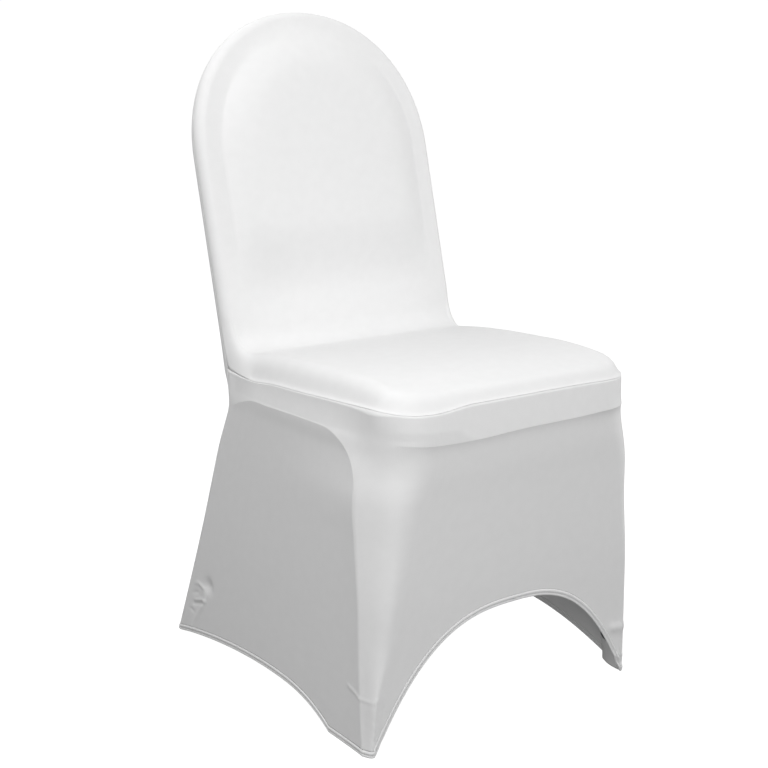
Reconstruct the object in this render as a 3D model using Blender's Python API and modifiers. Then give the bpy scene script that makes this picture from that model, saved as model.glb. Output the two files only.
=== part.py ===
"""Fitted stretch cover of a banquet chair, in metres.

It stands on z = 0 with its front towards -Y, and keeps the taut shape that it has on the chair:
a round-topped back, a padded seat, flared sides, an arch between each pair of feet. Every panel
is one thin sheet, and the panels meet edge to edge at their seams.
"""

import math

import bmesh
import bpy
import numpy as np

# Cloth and seams
CLOTH = 0.0015
SEAM_GAP = 0.0005
SEAM_ALLOWANCE = 0.0015
HEM_GAP = 0.0008
ROLL_ANGLES = (0, 35, 65, 90)

# Back: its front plane leans back from a line just above the seat
BACK_FOOT_Y = 0.108
BACK_FOOT_Z = 0.45
BACK_LEAN = math.atan(0.25)
BACK_HALF_WIDTH = 0.204
BACK_THICKNESS = 0.032
BACK_EDGE_ROUND = 0.013
ARCH_START = 0.290
ARCH_TOP = 0.4985
ARCH_POWER = 2.1
PAD_CROWN = 0.021
PAD_EDGE = 0.35
PAD_FADE_FROM = 0.05
PAD_FADE_TO = 0.20

# Seat: outline of its seam and the height of its top along the middle
SEAT_HALF_WIDTH = 0.2075
SEAT_FRONT_Y = -0.279
SEAT_CORNER = 0.060
SEAT_SHOULDER = 0.027
SEAT_CROWN = 0.004
SEAT_TOP_COLUMNS = ("y", "z")
SEAT_TOP = (
    (-0.252, 0.4665),
    (-0.210, 0.4735),
    (-0.160, 0.4768),
    (-0.100, 0.4760),
    (-0.030, 0.4738),
    (0.030, 0.4695),
    (0.077, 0.4640),
)
VALLEY_FOLD = 0.010
VALLEY_END = 0.045
VALLEY_STEPS = (0.33, 0.67)
VALLEY_EDGE_Y = 0.08
JUNCTION_Z = 0.4386

# Height of the seam between the seat and the skirt, along the side and round the front
SIDE_SEAM_COLUMNS = ("y", "z")
SIDE_SEAM = (
    (-0.219, 0.4463),
    (-0.140, 0.4438),
    (-0.060, 0.4404),
    (0.000, 0.4380),
    (0.050, 0.4334),
    (0.085, 0.4346),
    (0.118, JUNCTION_Z),
)
FRONT_SEAM_Z = 0.4465
CORNER_SEAM_SAG = {-1: 0.004, 1: 0.001}
CORNER_SAG_SPREAD = 1.3
FRONT_SAG_SPREAD = 2.5

# Half plan of the wall below the seat, a row for each height
WALL_COLUMNS = (
    "z", "edge_x", "edge_y", "rear_y", "middle_x", "side_x", "front_y", "round_x", "round_y",
)
WALL = (
    (0.4500, 0.2045, 0.1195, 0.1405, 0.2072, 0.2070, -0.2785, 0.060, 0.060),
    (0.4350, 0.2050, 0.1175, 0.1370, 0.2095, 0.2085, -0.2790, 0.060, 0.061),
    (0.4110, 0.2068, 0.1135, 0.1200, 0.2155, 0.2150, -0.2797, 0.060, 0.066),
    (0.3850, 0.2078, 0.1115, 0.1185, 0.2155, 0.2162, -0.2790, 0.055, 0.066),
    (0.3600, 0.2080, 0.1230, 0.1290, 0.2158, 0.2195, -0.2770, 0.050, 0.066),
    (0.3350, 0.2080, 0.1360, 0.1415, 0.2162, 0.2232, -0.2740, 0.045, 0.066),
    (0.2700, 0.2082, 0.1625, 0.1685, 0.2168, 0.2245, -0.2675, 0.035, 0.055),
    (0.2000, 0.2088, 0.1895, 0.1955, 0.2178, 0.2255, -0.2615, 0.020, 0.042),
    (0.1100, 0.2095, 0.2270, 0.2335, 0.2190, 0.2272, -0.2540, 0.011, 0.030),
    (0.0000, 0.2105, 0.2750, 0.2808, 0.2210, 0.2310, -0.2490, 0.010, 0.013),
)
REAR_CORNER_ROUND = 0.010

# Panels drawn in below the seat's edge: inwards depth, upper edge and how far down it fades
SIDE_SINK = 0.0055
SIDE_SINK_LOW_SHARE = 0.35
SIDE_SINK_TOP = 0.409
SIDE_SINK_ROUND = 0.055
FRONT_SINK = 0.0065
FRONT_SINK_TOP = 0.405
FRONT_SINK_HALF_WIDTH = 0.188
FRONT_SINK_ROUND = 0.030
SINK_SLOPE = 0.009
SINK_END = 0.05

# Arches of the lower edge
FRONT_ARCH = {"height": 0.161, "reach": 0.2200, "power": 2.7}
REAR_ARCH = {"height": 0.150, "reach": 0.1960, "power": 2.7}
SIDE_ARCHES = {
    -1: {"height": 0.031, "front": 0.155, "front_power": 2.8, "rear": 0.270, "rear_power": 1.8},
    1: {"height": 0.062, "front": 0.238, "front_power": 2.0, "rear": 0.270, "rear_power": 1.8},
}

# Elastic binding round the lower edge
BINDING_HEIGHT = 0.0085
BINDING_HALF_THICKNESS = 0.0017
BINDING_PROFILE_COLUMNS = ("up", "out")
BINDING_PROFILE = (
    (0.00, 0.5),
    (0.22, 1.0),
    (0.78, 1.0),
    (1.00, 0.5),
)

# Pouches inside the feet: how far along the side they reach, at the floor and at the top
POCKET_CLOTH = 0.0012
POCKET_INSET = 0.0032
POCKET_FLOOR = 0.0004
POCKET_LEVELS = (0.0, 0.12, 0.35, 0.65, 1.0)
POCKET_TURN_ANGLES = (0, 30, 60, 90)
POCKET_BULGE = 0.10
POCKET_BULGE_SHARES = (0.25, 0.5, 0.75)
POCKET_ARCH_GAP = 0.002
POCKET_MIN_EDGE = 0.001
FRONT_POCKET = {"height": 0.068, "floor_y": {-1: -0.212, 1: -0.230}, "top_y": -0.187, "turn": 0.010}
REAR_POCKET = {"height": 0.088, "floor_y": {-1: 0.250, 1: 0.258}, "top_y": 0.192, "turn": 0.006}

# Columns across each stretch of the wall, and its rows
SIDE_STEPS = (0.0, 0.05, 0.12, 0.25, 0.40, 0.55, 0.70, 0.84, 0.94, 1.0)
CORNER_STEPS = (0.0, 0.25, 0.5, 0.75, 1.0)
FRONT_STEPS = (0.0, 0.06, 0.14, 0.25, 0.38, 0.53, 0.69, 0.85, 1.0)
WALL_LEVELS = (0.425, 0.411, 0.403, 0.396, 0.380, 0.355, 0.320)
LOWER_STEPS = (0.2, 0.4, 0.6, 0.8, 0.92, 1.0)
BACK_LEVELS = (0.095, 0.145, 0.195, 0.245, 0.290)
ARCH_SIDE_ANGLES = (12, 24, 36, 48)
ARCH_TOP_ANGLES = (48, 53, 58, 63, 68, 72, 76, 80, 84, 87, 90)

MERGE_DISTANCE = 0.00002
WHITE = (0.86, 0.86, 0.87, 1.0)


def column(table, names, name):
    """One named column of a table."""
    return [row[names.index(name)] for row in table]


def wall_row(z):
    """Every size of the wall's half plan at one height."""
    heights = column(WALL, WALL_COLUMNS, "z")[::-1]
    row = {}
    for name in WALL_COLUMNS:
        row[name] = float(np.interp(z, heights, column(WALL, WALL_COLUMNS, name)[::-1]))
    return row


def smooth(value):
    """Soft step from 0 to 1."""
    value = min(max(value, 0.0), 1.0)
    return value * value * (3 - 2 * value)


def rounded_depth(below, beside, radius):
    """Distance inside a region whose two edges meet in a round corner."""
    if below < radius and beside < radius:
        return radius - math.hypot(radius - below, radius - beside)
    return min(below, beside)


def side_sink(y, z, row):
    """How far the side panel is drawn in, between the seat's rail and the two legs."""
    below = SIDE_SINK_TOP - z
    front = rounded_depth(below, y - (row["front_y"] + row["round_y"]), SIDE_SINK_ROUND)
    rear = rounded_depth(below, row["edge_y"] - y, SIDE_SINK_ROUND)
    fade = smooth((z - SINK_END) / (SIDE_SINK_TOP - SINK_END))
    share = SIDE_SINK_LOW_SHARE + (1 - SIDE_SINK_LOW_SHARE) * fade
    return SIDE_SINK * smooth(min(front, rear) / SINK_SLOPE) * share


def front_sink(x, z):
    """How far the front panel is drawn in below the step under the seat."""
    depth = rounded_depth(FRONT_SINK_TOP - z, FRONT_SINK_HALF_WIDTH - abs(x), FRONT_SINK_ROUND)
    fade = smooth((z - SINK_END) / (FRONT_SINK_TOP - SINK_END))
    return FRONT_SINK * smooth(depth / SINK_SLOPE) * fade


def wall_point(zone, step, side, z):
    """A point of the wall: side +1 is the right half, and step runs 0 to 1 along its zone.

    The side runs from the rear seam to the front corner, the front from the corner to the middle,
    the rear corner from the rear seam to the rear face, and the rear from there to the middle.
    """
    row = wall_row(z)
    corner_x = row["side_x"] - row["round_x"]
    corner_y = row["front_y"] + row["round_y"]
    rear_x = row["edge_x"] - REAR_CORNER_ROUND
    if zone == "side":
        y = row["edge_y"] + step * (corner_y - row["edge_y"])
        bow = row["middle_x"] - (row["edge_x"] + row["side_x"]) / 2
        x = row["edge_x"] + step * (row["side_x"] - row["edge_x"]) + 4 * bow * step * (1 - step)
        x -= side_sink(y, z, row)
    elif zone == "corner":
        angle = step * math.pi / 2
        x = corner_x + row["round_x"] * math.cos(angle)
        y = corner_y - row["round_y"] * math.sin(angle)
        y += front_sink(x, z) * math.sin(angle)
    elif zone == "front":
        x = corner_x * (1 - step)
        y = row["front_y"] + front_sink(x, z)
    elif zone == "rear corner":
        angle = (1 - step) * math.pi / 2
        x = rear_x + REAR_CORNER_ROUND * math.sin(angle)
        drop = row["rear_y"] - row["edge_y"] - SEAM_ALLOWANCE
        y = row["rear_y"] - drop * (1 - math.cos(angle))
    else:
        x = rear_x * (1 - step)
        y = row["rear_y"]
    return np.array([side * x, y, z])


def arch_height(distance, arch, lift):
    """Height of an arch of the lower edge, raised and widened by lift."""
    share = min(abs(distance) / (arch["reach"] + lift), 1.0)
    return (arch["height"] + lift) * (1 - share ** arch["power"])


def side_arch_height(y, arch, lift):
    """Height of a side's shallow arch, which is highest at y = 0 and steeper towards the front."""
    end = "front" if y < 0 else "rear"
    share = min(abs(y) / arch[end], 1.0)
    return lift + arch["height"] * (1 - share ** arch[end + "_power"])


def hem_z(zone, step, side, lift=0.0):
    """Height of the lower edge at a column of the wall: of the binding, or of the cloth with a lift."""
    z = lift
    for _ in range(8):
        x, y, _ = wall_point(zone, step, side, z)
        if zone == "front":
            z = max(lift, arch_height(x, FRONT_ARCH, lift))
        elif zone == "rear":
            z = max(lift, arch_height(x, REAR_ARCH, lift))
        elif zone == "side":
            z = side_arch_height(y, SIDE_ARCHES[side], lift)
    return z


def seat_seam_z(zone, step, side):
    """Height of the seat's seam at a column of the wall."""
    corner_y = SEAT_FRONT_Y + SEAT_CORNER
    edge_y = column(SIDE_SEAM, SIDE_SEAM_COLUMNS, "y")[-1]
    if zone == "side":
        y = edge_y + step * (corner_y - edge_y)
        known = column(SIDE_SEAM, SIDE_SEAM_COLUMNS, "y")
        return float(np.interp(y, known, column(SIDE_SEAM, SIDE_SEAM_COLUMNS, "z")))
    if zone == "corner":
        return FRONT_SEAM_Z - CORNER_SEAM_SAG[side] * smooth(CORNER_SAG_SPREAD * step)
    return FRONT_SEAM_Z - CORNER_SEAM_SAG[side] * (1 - smooth(FRONT_SAG_SPREAD * step))


def seat_seam_point(zone, step, side):
    """A point of the seat's seam."""
    z = seat_seam_z(zone, step, side)
    return wall_point(zone, step, side, z)


def back_point(x, along, depth):
    """A point of the back, from its distance up the lean and behind its front plane."""
    y = BACK_FOOT_Y + along * math.sin(BACK_LEAN) + depth * math.cos(BACK_LEAN)
    z = BACK_FOOT_Z + along * math.cos(BACK_LEAN) - depth * math.sin(BACK_LEAN)
    return np.array([x, y, z])


def back_outline(angle, inset):
    """Distance across and up the lean of the back's arch, at an angle from its start to its top."""
    turn = math.radians(angle)
    across = (BACK_HALF_WIDTH - inset) * math.cos(turn) ** (2 / ARCH_POWER) if angle < 90 else 0.0
    along = ARCH_START + (ARCH_TOP - ARCH_START - inset) * math.sin(turn) ** (2 / ARCH_POWER)
    return across, along


def pad(x, along):
    """How far the back's pad stands forward of the plane of its edges."""
    width = BACK_HALF_WIDTH - BACK_EDGE_ROUND
    height = ARCH_TOP - ARCH_START - BACK_EDGE_ROUND
    above = max(along - ARCH_START, 0.0) / height
    level = ((abs(x) / width) ** ARCH_POWER + above**ARCH_POWER) ** (1 / ARCH_POWER)
    inside = min(max(1 - level, 0.0) / PAD_EDGE, 1.0)
    fade = smooth((along - PAD_FADE_FROM) / (PAD_FADE_TO - PAD_FADE_FROM))
    return PAD_CROWN * (1 - (1 - inside) ** 2) * fade


def seat_top_z(x, y):
    """Height of the seat's top, crowned between its sides."""
    known = column(SEAT_TOP, SEAT_TOP_COLUMNS, "y")
    z = float(np.interp(y, known, column(SEAT_TOP, SEAT_TOP_COLUMNS, "z")))
    across = min(abs(x) / (SEAT_HALF_WIDTH - SEAT_SHOULDER), 1.0)
    middle = (known[0] + known[-1]) / 2
    along = min(abs(y - middle) / (known[-1] - middle), 1.0)
    return z + SEAT_CROWN * (1 - across**2) * (1 - along**4)


def valley_point(x, step):
    """A point of the soft fold between the seat and the back."""
    start_y = column(SEAT_TOP, SEAT_TOP_COLUMNS, "y")[-1]
    start = np.array([x, start_y, seat_top_z(x, start_y)])
    end = back_point(x, VALLEY_END, 0.0)
    fold = back_point(x, VALLEY_FOLD, 0.0)
    return (1 - step) ** 2 * start + 2 * step * (1 - step) * fold + step**2 * end


def roll(face, seam, inwards):
    """Points from a panel's face round its edge to its seam."""
    inwards = inwards / np.linalg.norm(inwards)
    drop = float(np.dot(seam - face, inwards))
    out = seam - face - drop * inwards
    points = []
    for angle in ROLL_ANGLES:
        turn = math.radians(angle)
        fall = max(drop - SEAM_ALLOWANCE, 0.0) * (1 - math.cos(turn))
        points.append(face + out * math.sin(turn) + inwards * fall)
    return points + [seam]


def blended_patch(bottom, top, inner, outer):
    """Rows of points that fill a patch between its four edges."""
    count_across = len(bottom) - 1
    count_along = len(inner) - 1
    rows = []
    for j in range(count_along + 1):
        v = j / count_along
        row = []
        for i in range(count_across + 1):
            u = i / count_across
            edges = (1 - v) * bottom[i] + v * top[i] + (1 - u) * inner[j] + u * outer[j]
            corners = (1 - u) * (1 - v) * bottom[0] + u * (1 - v) * bottom[-1]
            corners += (1 - u) * v * top[0] + u * v * top[-1]
            row.append(edges - corners)
        rows.append(row)
    return rows


def across_shares():
    """How far out each column of a panel's face lies, from the middle to the side."""
    front = [1 - step for step in reversed(FRONT_STEPS)]
    straight = SEAT_HALF_WIDTH - SEAT_CORNER
    tight = SEAT_CORNER - SEAT_SHOULDER
    xs = [share * straight for share in front]
    xs += [straight + tight * math.cos(step * math.pi / 2) for step in (0.75, 0.5)]
    return [x / xs[-1] for x in xs]


def seat_face_outline(step):
    """The seat face's front corner in plan, from the side to the front."""
    tight = SEAT_CORNER - SEAT_SHOULDER
    angle = step * math.pi / 2
    x = SEAT_HALF_WIDTH - SEAT_CORNER + tight * math.cos(angle)
    y = SEAT_FRONT_Y + SEAT_CORNER - tight * math.sin(angle)
    return np.array([x, y])


def arch_patch(inset):
    """Rows of distance across and up the lean that fill the back's arch, for its right half."""
    shares = across_shares()
    width = BACK_HALF_WIDTH - inset
    bottom = [np.array([share * width, ARCH_START]) for share in shares]
    top = [np.array(back_outline(angle, inset)) for angle in reversed(ARCH_TOP_ANGLES)]
    outer = [bottom[-1]] + [np.array(back_outline(angle, inset)) for angle in ARCH_SIDE_ANGLES]
    count = len(outer) - 1
    inner = [bottom[0] + (top[0] - bottom[0]) * j / count for j in range(count + 1)]
    return blended_patch(bottom, top, inner, outer)[1:]


def inside_face():
    """Rows of the inside panel's face for its right half, from the seat's front to the back's top."""
    shares = across_shares()
    width = SEAT_HALF_WIDTH - SEAT_SHOULDER
    corner_y = SEAT_FRONT_Y + SEAT_CORNER
    front_x = [(1 - step) * (SEAT_HALF_WIDTH - SEAT_CORNER) for step in reversed(FRONT_STEPS)]
    front = [np.array([x, SEAT_FRONT_Y + SEAT_SHOULDER]) for x in front_x]
    front += [seat_face_outline(0.75), seat_face_outline(0.5)]
    straight = [np.array([share * width, corner_y]) for share in shares]
    outer = [seat_face_outline(step) for step in (0.5, 0.25, 0.0)]
    inner = [front[0] + (straight[0] - front[0]) * j / 2 for j in range(3)]
    rows = []
    for row in blended_patch(front, straight, inner, outer):
        rows.append([np.array([x, y, seat_top_z(x, y)]) for x, y in row])
    edge_y = column(SIDE_SEAM, SIDE_SEAM_COLUMNS, "y")[-1]
    for step in reversed(SIDE_STEPS[2:-1]):
        y = edge_y + step * (corner_y - edge_y)
        rows.append([np.array([share * width, y, seat_top_z(share * width, y)]) for share in shares])
    back_width = BACK_HALF_WIDTH - BACK_EDGE_ROUND
    for step in VALLEY_STEPS:
        reach = width + (back_width - width) * step
        rows.append([valley_point(share * reach, step) for share in shares])
    for along in (VALLEY_END,) + BACK_LEVELS:
        xs = [share * back_width for share in shares]
        rows.append([back_point(x, along, -pad(x, along)) for x in xs])
    for row in arch_patch(BACK_EDGE_ROUND):
        rows.append([back_point(x, along, -pad(x, along)) for x, along in row])
    return rows


def inside_seam(side):
    """The inside panel's seam from the middle of the seat's front round to the top of the back."""
    lift = np.array([0.0, 0.0, SEAM_GAP / 2])
    points = [seat_seam_point("front", step, side) + lift for step in reversed(FRONT_STEPS)]
    points += [seat_seam_point("corner", step, side) + lift for step in reversed(CORNER_STEPS[:-1])]
    points += [seat_seam_point("side", step, side) + lift for step in reversed(SIDE_STEPS[:-1])]
    points[-1] = points[-1] - np.array([0.0, SEAM_GAP / 2, 0.0])
    return points + back_seam(side, BACK_THICKNESS / 2 - SEAM_GAP / 2)


def back_seam(side, depth):
    """The seam round the back, from just above the seat to the top of the arch."""
    points = [back_point(side * BACK_HALF_WIDTH, along, depth) for along in (VALLEY_END,) + BACK_LEVELS]
    for angle in ARCH_SIDE_ANGLES + ARCH_TOP_ANGLES[1:]:
        across, along = back_outline(angle, 0.0)
        points.append(back_point(side * across, along, depth))
    return points


def boundary(rows, with_bottom):
    """A half face's edge, from the middle of its bottom round its side to the middle of its top."""
    points = list(rows[0]) if with_bottom else [rows[0][-1]]
    points += [row[-1] for row in rows[1:]]
    return points + list(reversed(rows[-1][:-1]))


def mirrored(rows):
    """Rows across both halves, from a right half that starts at the middle."""
    flip = np.array([-1.0, 1.0, 1.0])
    return [[point * flip for point in reversed(row[1:])] + list(row) for row in rows]


def add_grid(mesh, rows):
    """A grid of faces, each of its points moved to its place in rows."""
    across = len(rows[0]) - 1
    along = len(rows) - 1
    grid = bmesh.ops.create_grid(mesh, x_segments=across, y_segments=along, size=1.0)
    for vertex in grid["verts"]:
        i = round((vertex.co.x + 1) / 2 * across)
        j = round((vertex.co.y + 1) / 2 * along)
        vertex.co = rows[j][i]


def finish_object(name, mesh, collection, outside=None):
    """An object with its material, its faces turned outwards."""
    bmesh.ops.remove_doubles(mesh, verts=mesh.verts, dist=MERGE_DISTANCE)
    bmesh.ops.recalc_face_normals(mesh, faces=mesh.faces)
    if outside is not None:
        mesh.normal_update()
        facing = sum(float(np.dot(face.normal, outside)) * face.calc_area() for face in mesh.faces)
        if facing < 0:
            bmesh.ops.reverse_faces(mesh, faces=mesh.faces)
    data = bpy.data.meshes.new(name)
    mesh.to_mesh(data)
    mesh.free()
    data.shade_smooth()
    piece = bpy.data.objects.new(name, data)
    collection.objects.link(piece)
    data.materials.append(knit_material(name))
    return piece


def knit_material(name):
    """White stretch knit, matt, one for each piece."""
    material = bpy.data.materials.new(name)
    material.use_nodes = True
    shader = material.node_tree.nodes["Principled BSDF"]
    shader.inputs["Base Color"].default_value = WHITE
    shader.inputs["Roughness"].default_value = 0.85
    shader.inputs["Metallic"].default_value = 0.0
    return material


def add_thickness(piece):
    """The cloth's thickness, inwards from the sheet."""
    solidify = piece.modifiers.new("cloth", "SOLIDIFY")
    solidify.thickness = CLOTH
    solidify.offset = -1.0
    solidify.use_even_offset = True


def inside_edge_lean(point):
    """The way in from the edge of the inside panel's face, as an angle below level."""
    if point[2] > back_point(0.0, VALLEY_END, 0.0)[2] - MERGE_DISTANCE:
        return BACK_LEAN
    valley = smooth((point[1] - VALLEY_EDGE_Y) / (BACK_FOOT_Y - VALLEY_EDGE_Y))
    return math.pi / 2 - (math.pi / 2 - BACK_LEAN) * valley


def make_inside_panel(collection):
    """Front of the back and top of the seat, in one cut."""
    mesh = bmesh.new()
    half = inside_face()
    add_grid(mesh, mirrored(half))
    for side in (-1, 1):
        flip = np.array([side, 1.0, 1.0])
        face = [point * flip for point in boundary(half, with_bottom=True)]
        strips = []
        for start, end in zip(face, inside_seam(side)):
            lean = inside_edge_lean(start)
            inwards = np.array([0.0, math.cos(lean), -math.sin(lean)])
            strips.append(roll(start, end, inwards))
        add_grid(mesh, strips)
    piece = finish_object("inside_panel", mesh, collection, outside=(0, -1, 1))
    add_thickness(piece)


def leg_levels():
    """Heights of the rows that the rear panel and the skirt share, from the seat down."""
    bottom = WALL_LEVELS[-1]
    hem = BINDING_HEIGHT + HEM_GAP
    return WALL_LEVELS + tuple(bottom + step * (hem - bottom) for step in LOWER_STEPS)


def make_rear_panel(collection):
    """Outside of the back, down to the arch between the rear feet."""
    mesh = bmesh.new()
    shares = across_shares()
    half = [
        [back_point(x, along, BACK_THICKNESS) for x, along in row]
        for row in reversed(arch_patch(BACK_EDGE_ROUND))
    ]
    width = BACK_HALF_WIDTH - BACK_EDGE_ROUND
    for along in reversed((VALLEY_END,) + BACK_LEVELS):
        half.append([back_point(share * width, along, BACK_THICKNESS) for share in shares])
    levels = (JUNCTION_Z,) + leg_levels()
    bottom = WALL_LEVELS[-1]
    hem = leg_levels()[-1]
    for z in levels:
        row = []
        for share in shares:
            own_hem = hem_z("rear", 1 - share, 1, BINDING_HEIGHT + HEM_GAP)
            down = max(bottom - z, 0.0) / (bottom - hem)
            row.append(wall_point("rear", 1 - share, 1, z + down * (own_hem - hem)))
        half.append(row)
    add_grid(mesh, mirrored(half))
    for side in (-1, 1):
        flip = np.array([side, 1.0, 1.0])
        face = [point * flip for point in boundary(half[::-1], with_bottom=False)]
        seam = []
        for z in reversed(levels):
            edge = wall_point("side", 0.0, side, z)
            seam.append(edge + np.array([0.0, SEAM_GAP / 2, 0.0]))
        seam += back_seam(side, BACK_THICKNESS / 2 + SEAM_GAP / 2)
        strips = []
        for start, end in zip(face, seam):
            lean = BACK_LEAN if start[2] > BACK_FOOT_Z else 0.0
            inwards = np.array([0.0, -math.cos(lean), math.sin(lean)])
            strips.append(roll(start, end, inwards))
        add_grid(mesh, strips)
    piece = finish_object("rear_panel", mesh, collection, outside=(0, 1, 0))
    add_thickness(piece)


def skirt_columns():
    """Columns of the skirt from its left rear seam round the front to its right rear seam."""
    right = [("front", step) for step in reversed(FRONT_STEPS)]
    right += [("corner", step) for step in reversed(CORNER_STEPS[:-1])]
    right += [("side", step) for step in reversed(SIDE_STEPS[:-1])]
    left = [(zone, step, -1) for zone, step in reversed(right)]
    return left + [(zone, step, 1) for zone, step in right[1:]]


def make_skirt(collection):
    """Sides and front in one cut, from one rear leg to the other."""
    mesh = bmesh.new()
    bottom = WALL_LEVELS[-1]
    columns = skirt_columns()
    rows = []
    seam = []
    for zone, step, side in columns:
        z = seat_seam_z(zone, step, side) - SEAM_GAP / 2
        seam.append(wall_point(zone, step, side, z))
    rows.append(seam)
    for z in WALL_LEVELS:
        rows.append([wall_point(zone, step, side, z) for zone, step, side in columns])
    for down in LOWER_STEPS:
        row = []
        for zone, step, side in columns:
            hem = hem_z(zone, step, side, BINDING_HEIGHT + HEM_GAP)
            row.append(wall_point(zone, step, side, bottom + down * (hem - bottom)))
        rows.append(row)
    apart = np.array([0.0, SEAM_GAP / 2, 0.0])
    for row in rows:
        row[0] = row[0] - apart
        row[-1] = row[-1] - apart
    add_grid(mesh, rows)
    piece = finish_object("skirt", mesh, collection, outside=(0, -1, 0))
    add_thickness(piece)


def hem_loop():
    """Columns of the wall all the way round, from the middle of the front to the right."""
    right = [("front", step) for step in reversed(FRONT_STEPS)]
    right += [("corner", step) for step in reversed(CORNER_STEPS[:-1])]
    right += [("side", step) for step in reversed(SIDE_STEPS[:-1])]
    right += [("rear corner", 1 - angle / 90) for angle in reversed(ROLL_ANGLES[1:-1])]
    right += [("rear", 1 - share) for share in reversed(across_shares())]
    loop = [(zone, step, 1) for zone, step in right]
    return loop + [(zone, step, -1) for zone, step in reversed(right[1:-1])]


def make_hem_binding(collection):
    """One closed loop of elastic, its section rounded, along the whole lower edge."""
    mesh = bmesh.new()
    loop = hem_loop()
    count = len(loop)
    low = [hem_z(*place) for place in loop]
    high = [hem_z(*place, BINDING_HEIGHT) for place in loop]
    ups = column(BINDING_PROFILE, BINDING_PROFILE_COLUMNS, "up")
    outs = column(BINDING_PROFILE, BINDING_PROFILE_COLUMNS, "out")
    profile = list(zip(ups, outs))
    profile += [(up, -out) for up, out in reversed(profile)]
    rings = []
    for k, place in enumerate(loop):
        ring = []
        for up, out in profile:
            z = low[k] + up * (high[k] - low[k])
            along = wall_point(*loop[(k + 1) % count], z) - wall_point(*loop[k - 1], z)
            upwards = wall_point(*place, z + BINDING_HEIGHT) - wall_point(*place, z)
            outward = np.cross(along, upwards)
            outward /= np.linalg.norm(outward)
            centre = wall_point(*place, z) - outward * CLOTH / 2
            point = centre + outward * out * BINDING_HALF_THICKNESS
            point[2] = max(point[2], 0.0)
            ring.append(mesh.verts.new(point))
        rings.append(ring)
    for k, ring in enumerate(rings):
        following = rings[(k + 1) % count]
        for i, vertex in enumerate(ring):
            nearby = (i + 1) % len(ring)
            mesh.faces.new((vertex, ring[nearby], following[nearby], following[i]))
    finish_object("hem_binding", mesh, collection)


def pocket_section(end, share, size, side):
    """Plan outline of a front or rear pouch of the right half, at a share of its height.

    The pouch's floor rises along the side of the foot, as the lower edge does there.
    """
    level = POCKET_FLOOR + share * size["height"]
    row = wall_row(level)
    side_floor = size["floor_y"][side]
    side_y = side_floor + (size["top_y"] - side_floor) * share
    if end == "front":
        arch = FRONT_ARCH
        inwards = 1
        face_y = row["front_y"] + POCKET_INSET
        corner_x = row["side_x"] - POCKET_INSET
    else:
        arch = REAR_ARCH
        inwards = -1
        face_y = row["rear_y"] - POCKET_INSET
        corner_x = row["edge_x"] - POCKET_INSET
    corner_y = row["front_y"] + row["round_y"]
    arch_x = arch["reach"] * (1 - min(level / arch["height"], 1.0)) ** (1 / arch["power"])
    start = np.array([arch_x + POCKET_ARCH_GAP, face_y])
    step = min(max((side_y - row["edge_y"]) / (corner_y - row["edge_y"]), 0.0), 1.0)
    side_end = np.array([wall_point("side", step, 1, level)[0] - POCKET_INSET, side_y])
    points = [start]
    for angle in POCKET_TURN_ANGLES:
        bend = math.radians(angle)
        x = corner_x - size["turn"] * (1 - math.sin(bend))
        y = face_y + inwards * size["turn"] * (1 - math.cos(bend))
        points.append(np.array([max(x, start[0] + POCKET_MIN_EDGE), y]))
    points.append(side_end)
    chord = start - side_end
    outwards = np.array([-abs(chord[1]), inwards * abs(chord[0])]) * POCKET_BULGE
    for along in POCKET_BULGE_SHARES:
        points.append(side_end + along * chord + outwards * 4 * along * (1 - along))
    rise = side_arch_height(side_floor, SIDE_ARCHES[side], 0.0) * (1 - share)
    section = []
    for x, y in points:
        tilt = min(max((y - face_y) / (side_floor - face_y), 0.0), 1.0)
        section.append(np.array([x, y, level + rise * tilt]))
    return section


def make_pocket(name, end, size, side, collection):
    """A pouch with an open top and a closed bottom, fitted into one foot."""
    mesh = bmesh.new()
    flip = np.array([side, 1.0, 1.0])
    outer = []
    inner = []
    for share in POCKET_LEVELS:
        section = pocket_section(end, share, size, side)
        middle = sum(section) / len(section)
        spans = np.ptp(np.array(section), axis=0)
        shrink = np.array([1 - 2 * POCKET_CLOTH / spans[0], 1 - 2 * POCKET_CLOTH / spans[1], 1.0])
        outer.append([point * flip for point in section])
        rise = np.array([0.0, 0.0, POCKET_CLOTH if share == 0.0 else 0.0])
        inner.append([(middle + (point - middle) * shrink + rise) * flip for point in section])
    rings = []
    for section in outer + inner[::-1]:
        rings.append([mesh.verts.new(point) for point in section])
    for lower, upper in zip(rings, rings[1:]):
        for i, vertex in enumerate(lower):
            nearby = (i + 1) % len(lower)
            mesh.faces.new((vertex, lower[nearby], upper[nearby], upper[i]))
    mesh.faces.new(rings[0])
    mesh.faces.new(rings[-1])
    finish_object(name, mesh, collection)


def main():
    for item in list(bpy.data.objects):
        bpy.data.objects.remove(item, do_unlink=True)
    collection = bpy.data.collections.new("chair_cover")
    bpy.context.scene.collection.children.link(collection)
    make_inside_panel(collection)
    make_rear_panel(collection)
    make_skirt(collection)
    make_hem_binding(collection)
    for side, word in ((-1, "left"), (1, "right")):
        make_pocket(f"foot_pocket_front_{word}", "front", FRONT_POCKET, side, collection)
        make_pocket(f"foot_pocket_rear_{word}", "rear", REAR_POCKET, side, collection)


main()
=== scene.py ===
"""Looks of a fitted stretch cover for a banquet chair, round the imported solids.

Every panel is one thin sheet of white warp knit, taut over the shape that it was made for. The sheets keep
the places and sizes of the solids and add what those leave out: smooth curves between the sections, the
seat's sewn rim, the hard edges that press through the cloth, the pouches that show through at the feet, and
the wrinkles round them. Lengths are in metres, the front is at -y, and side -1 is the left half.
"""

import math

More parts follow.
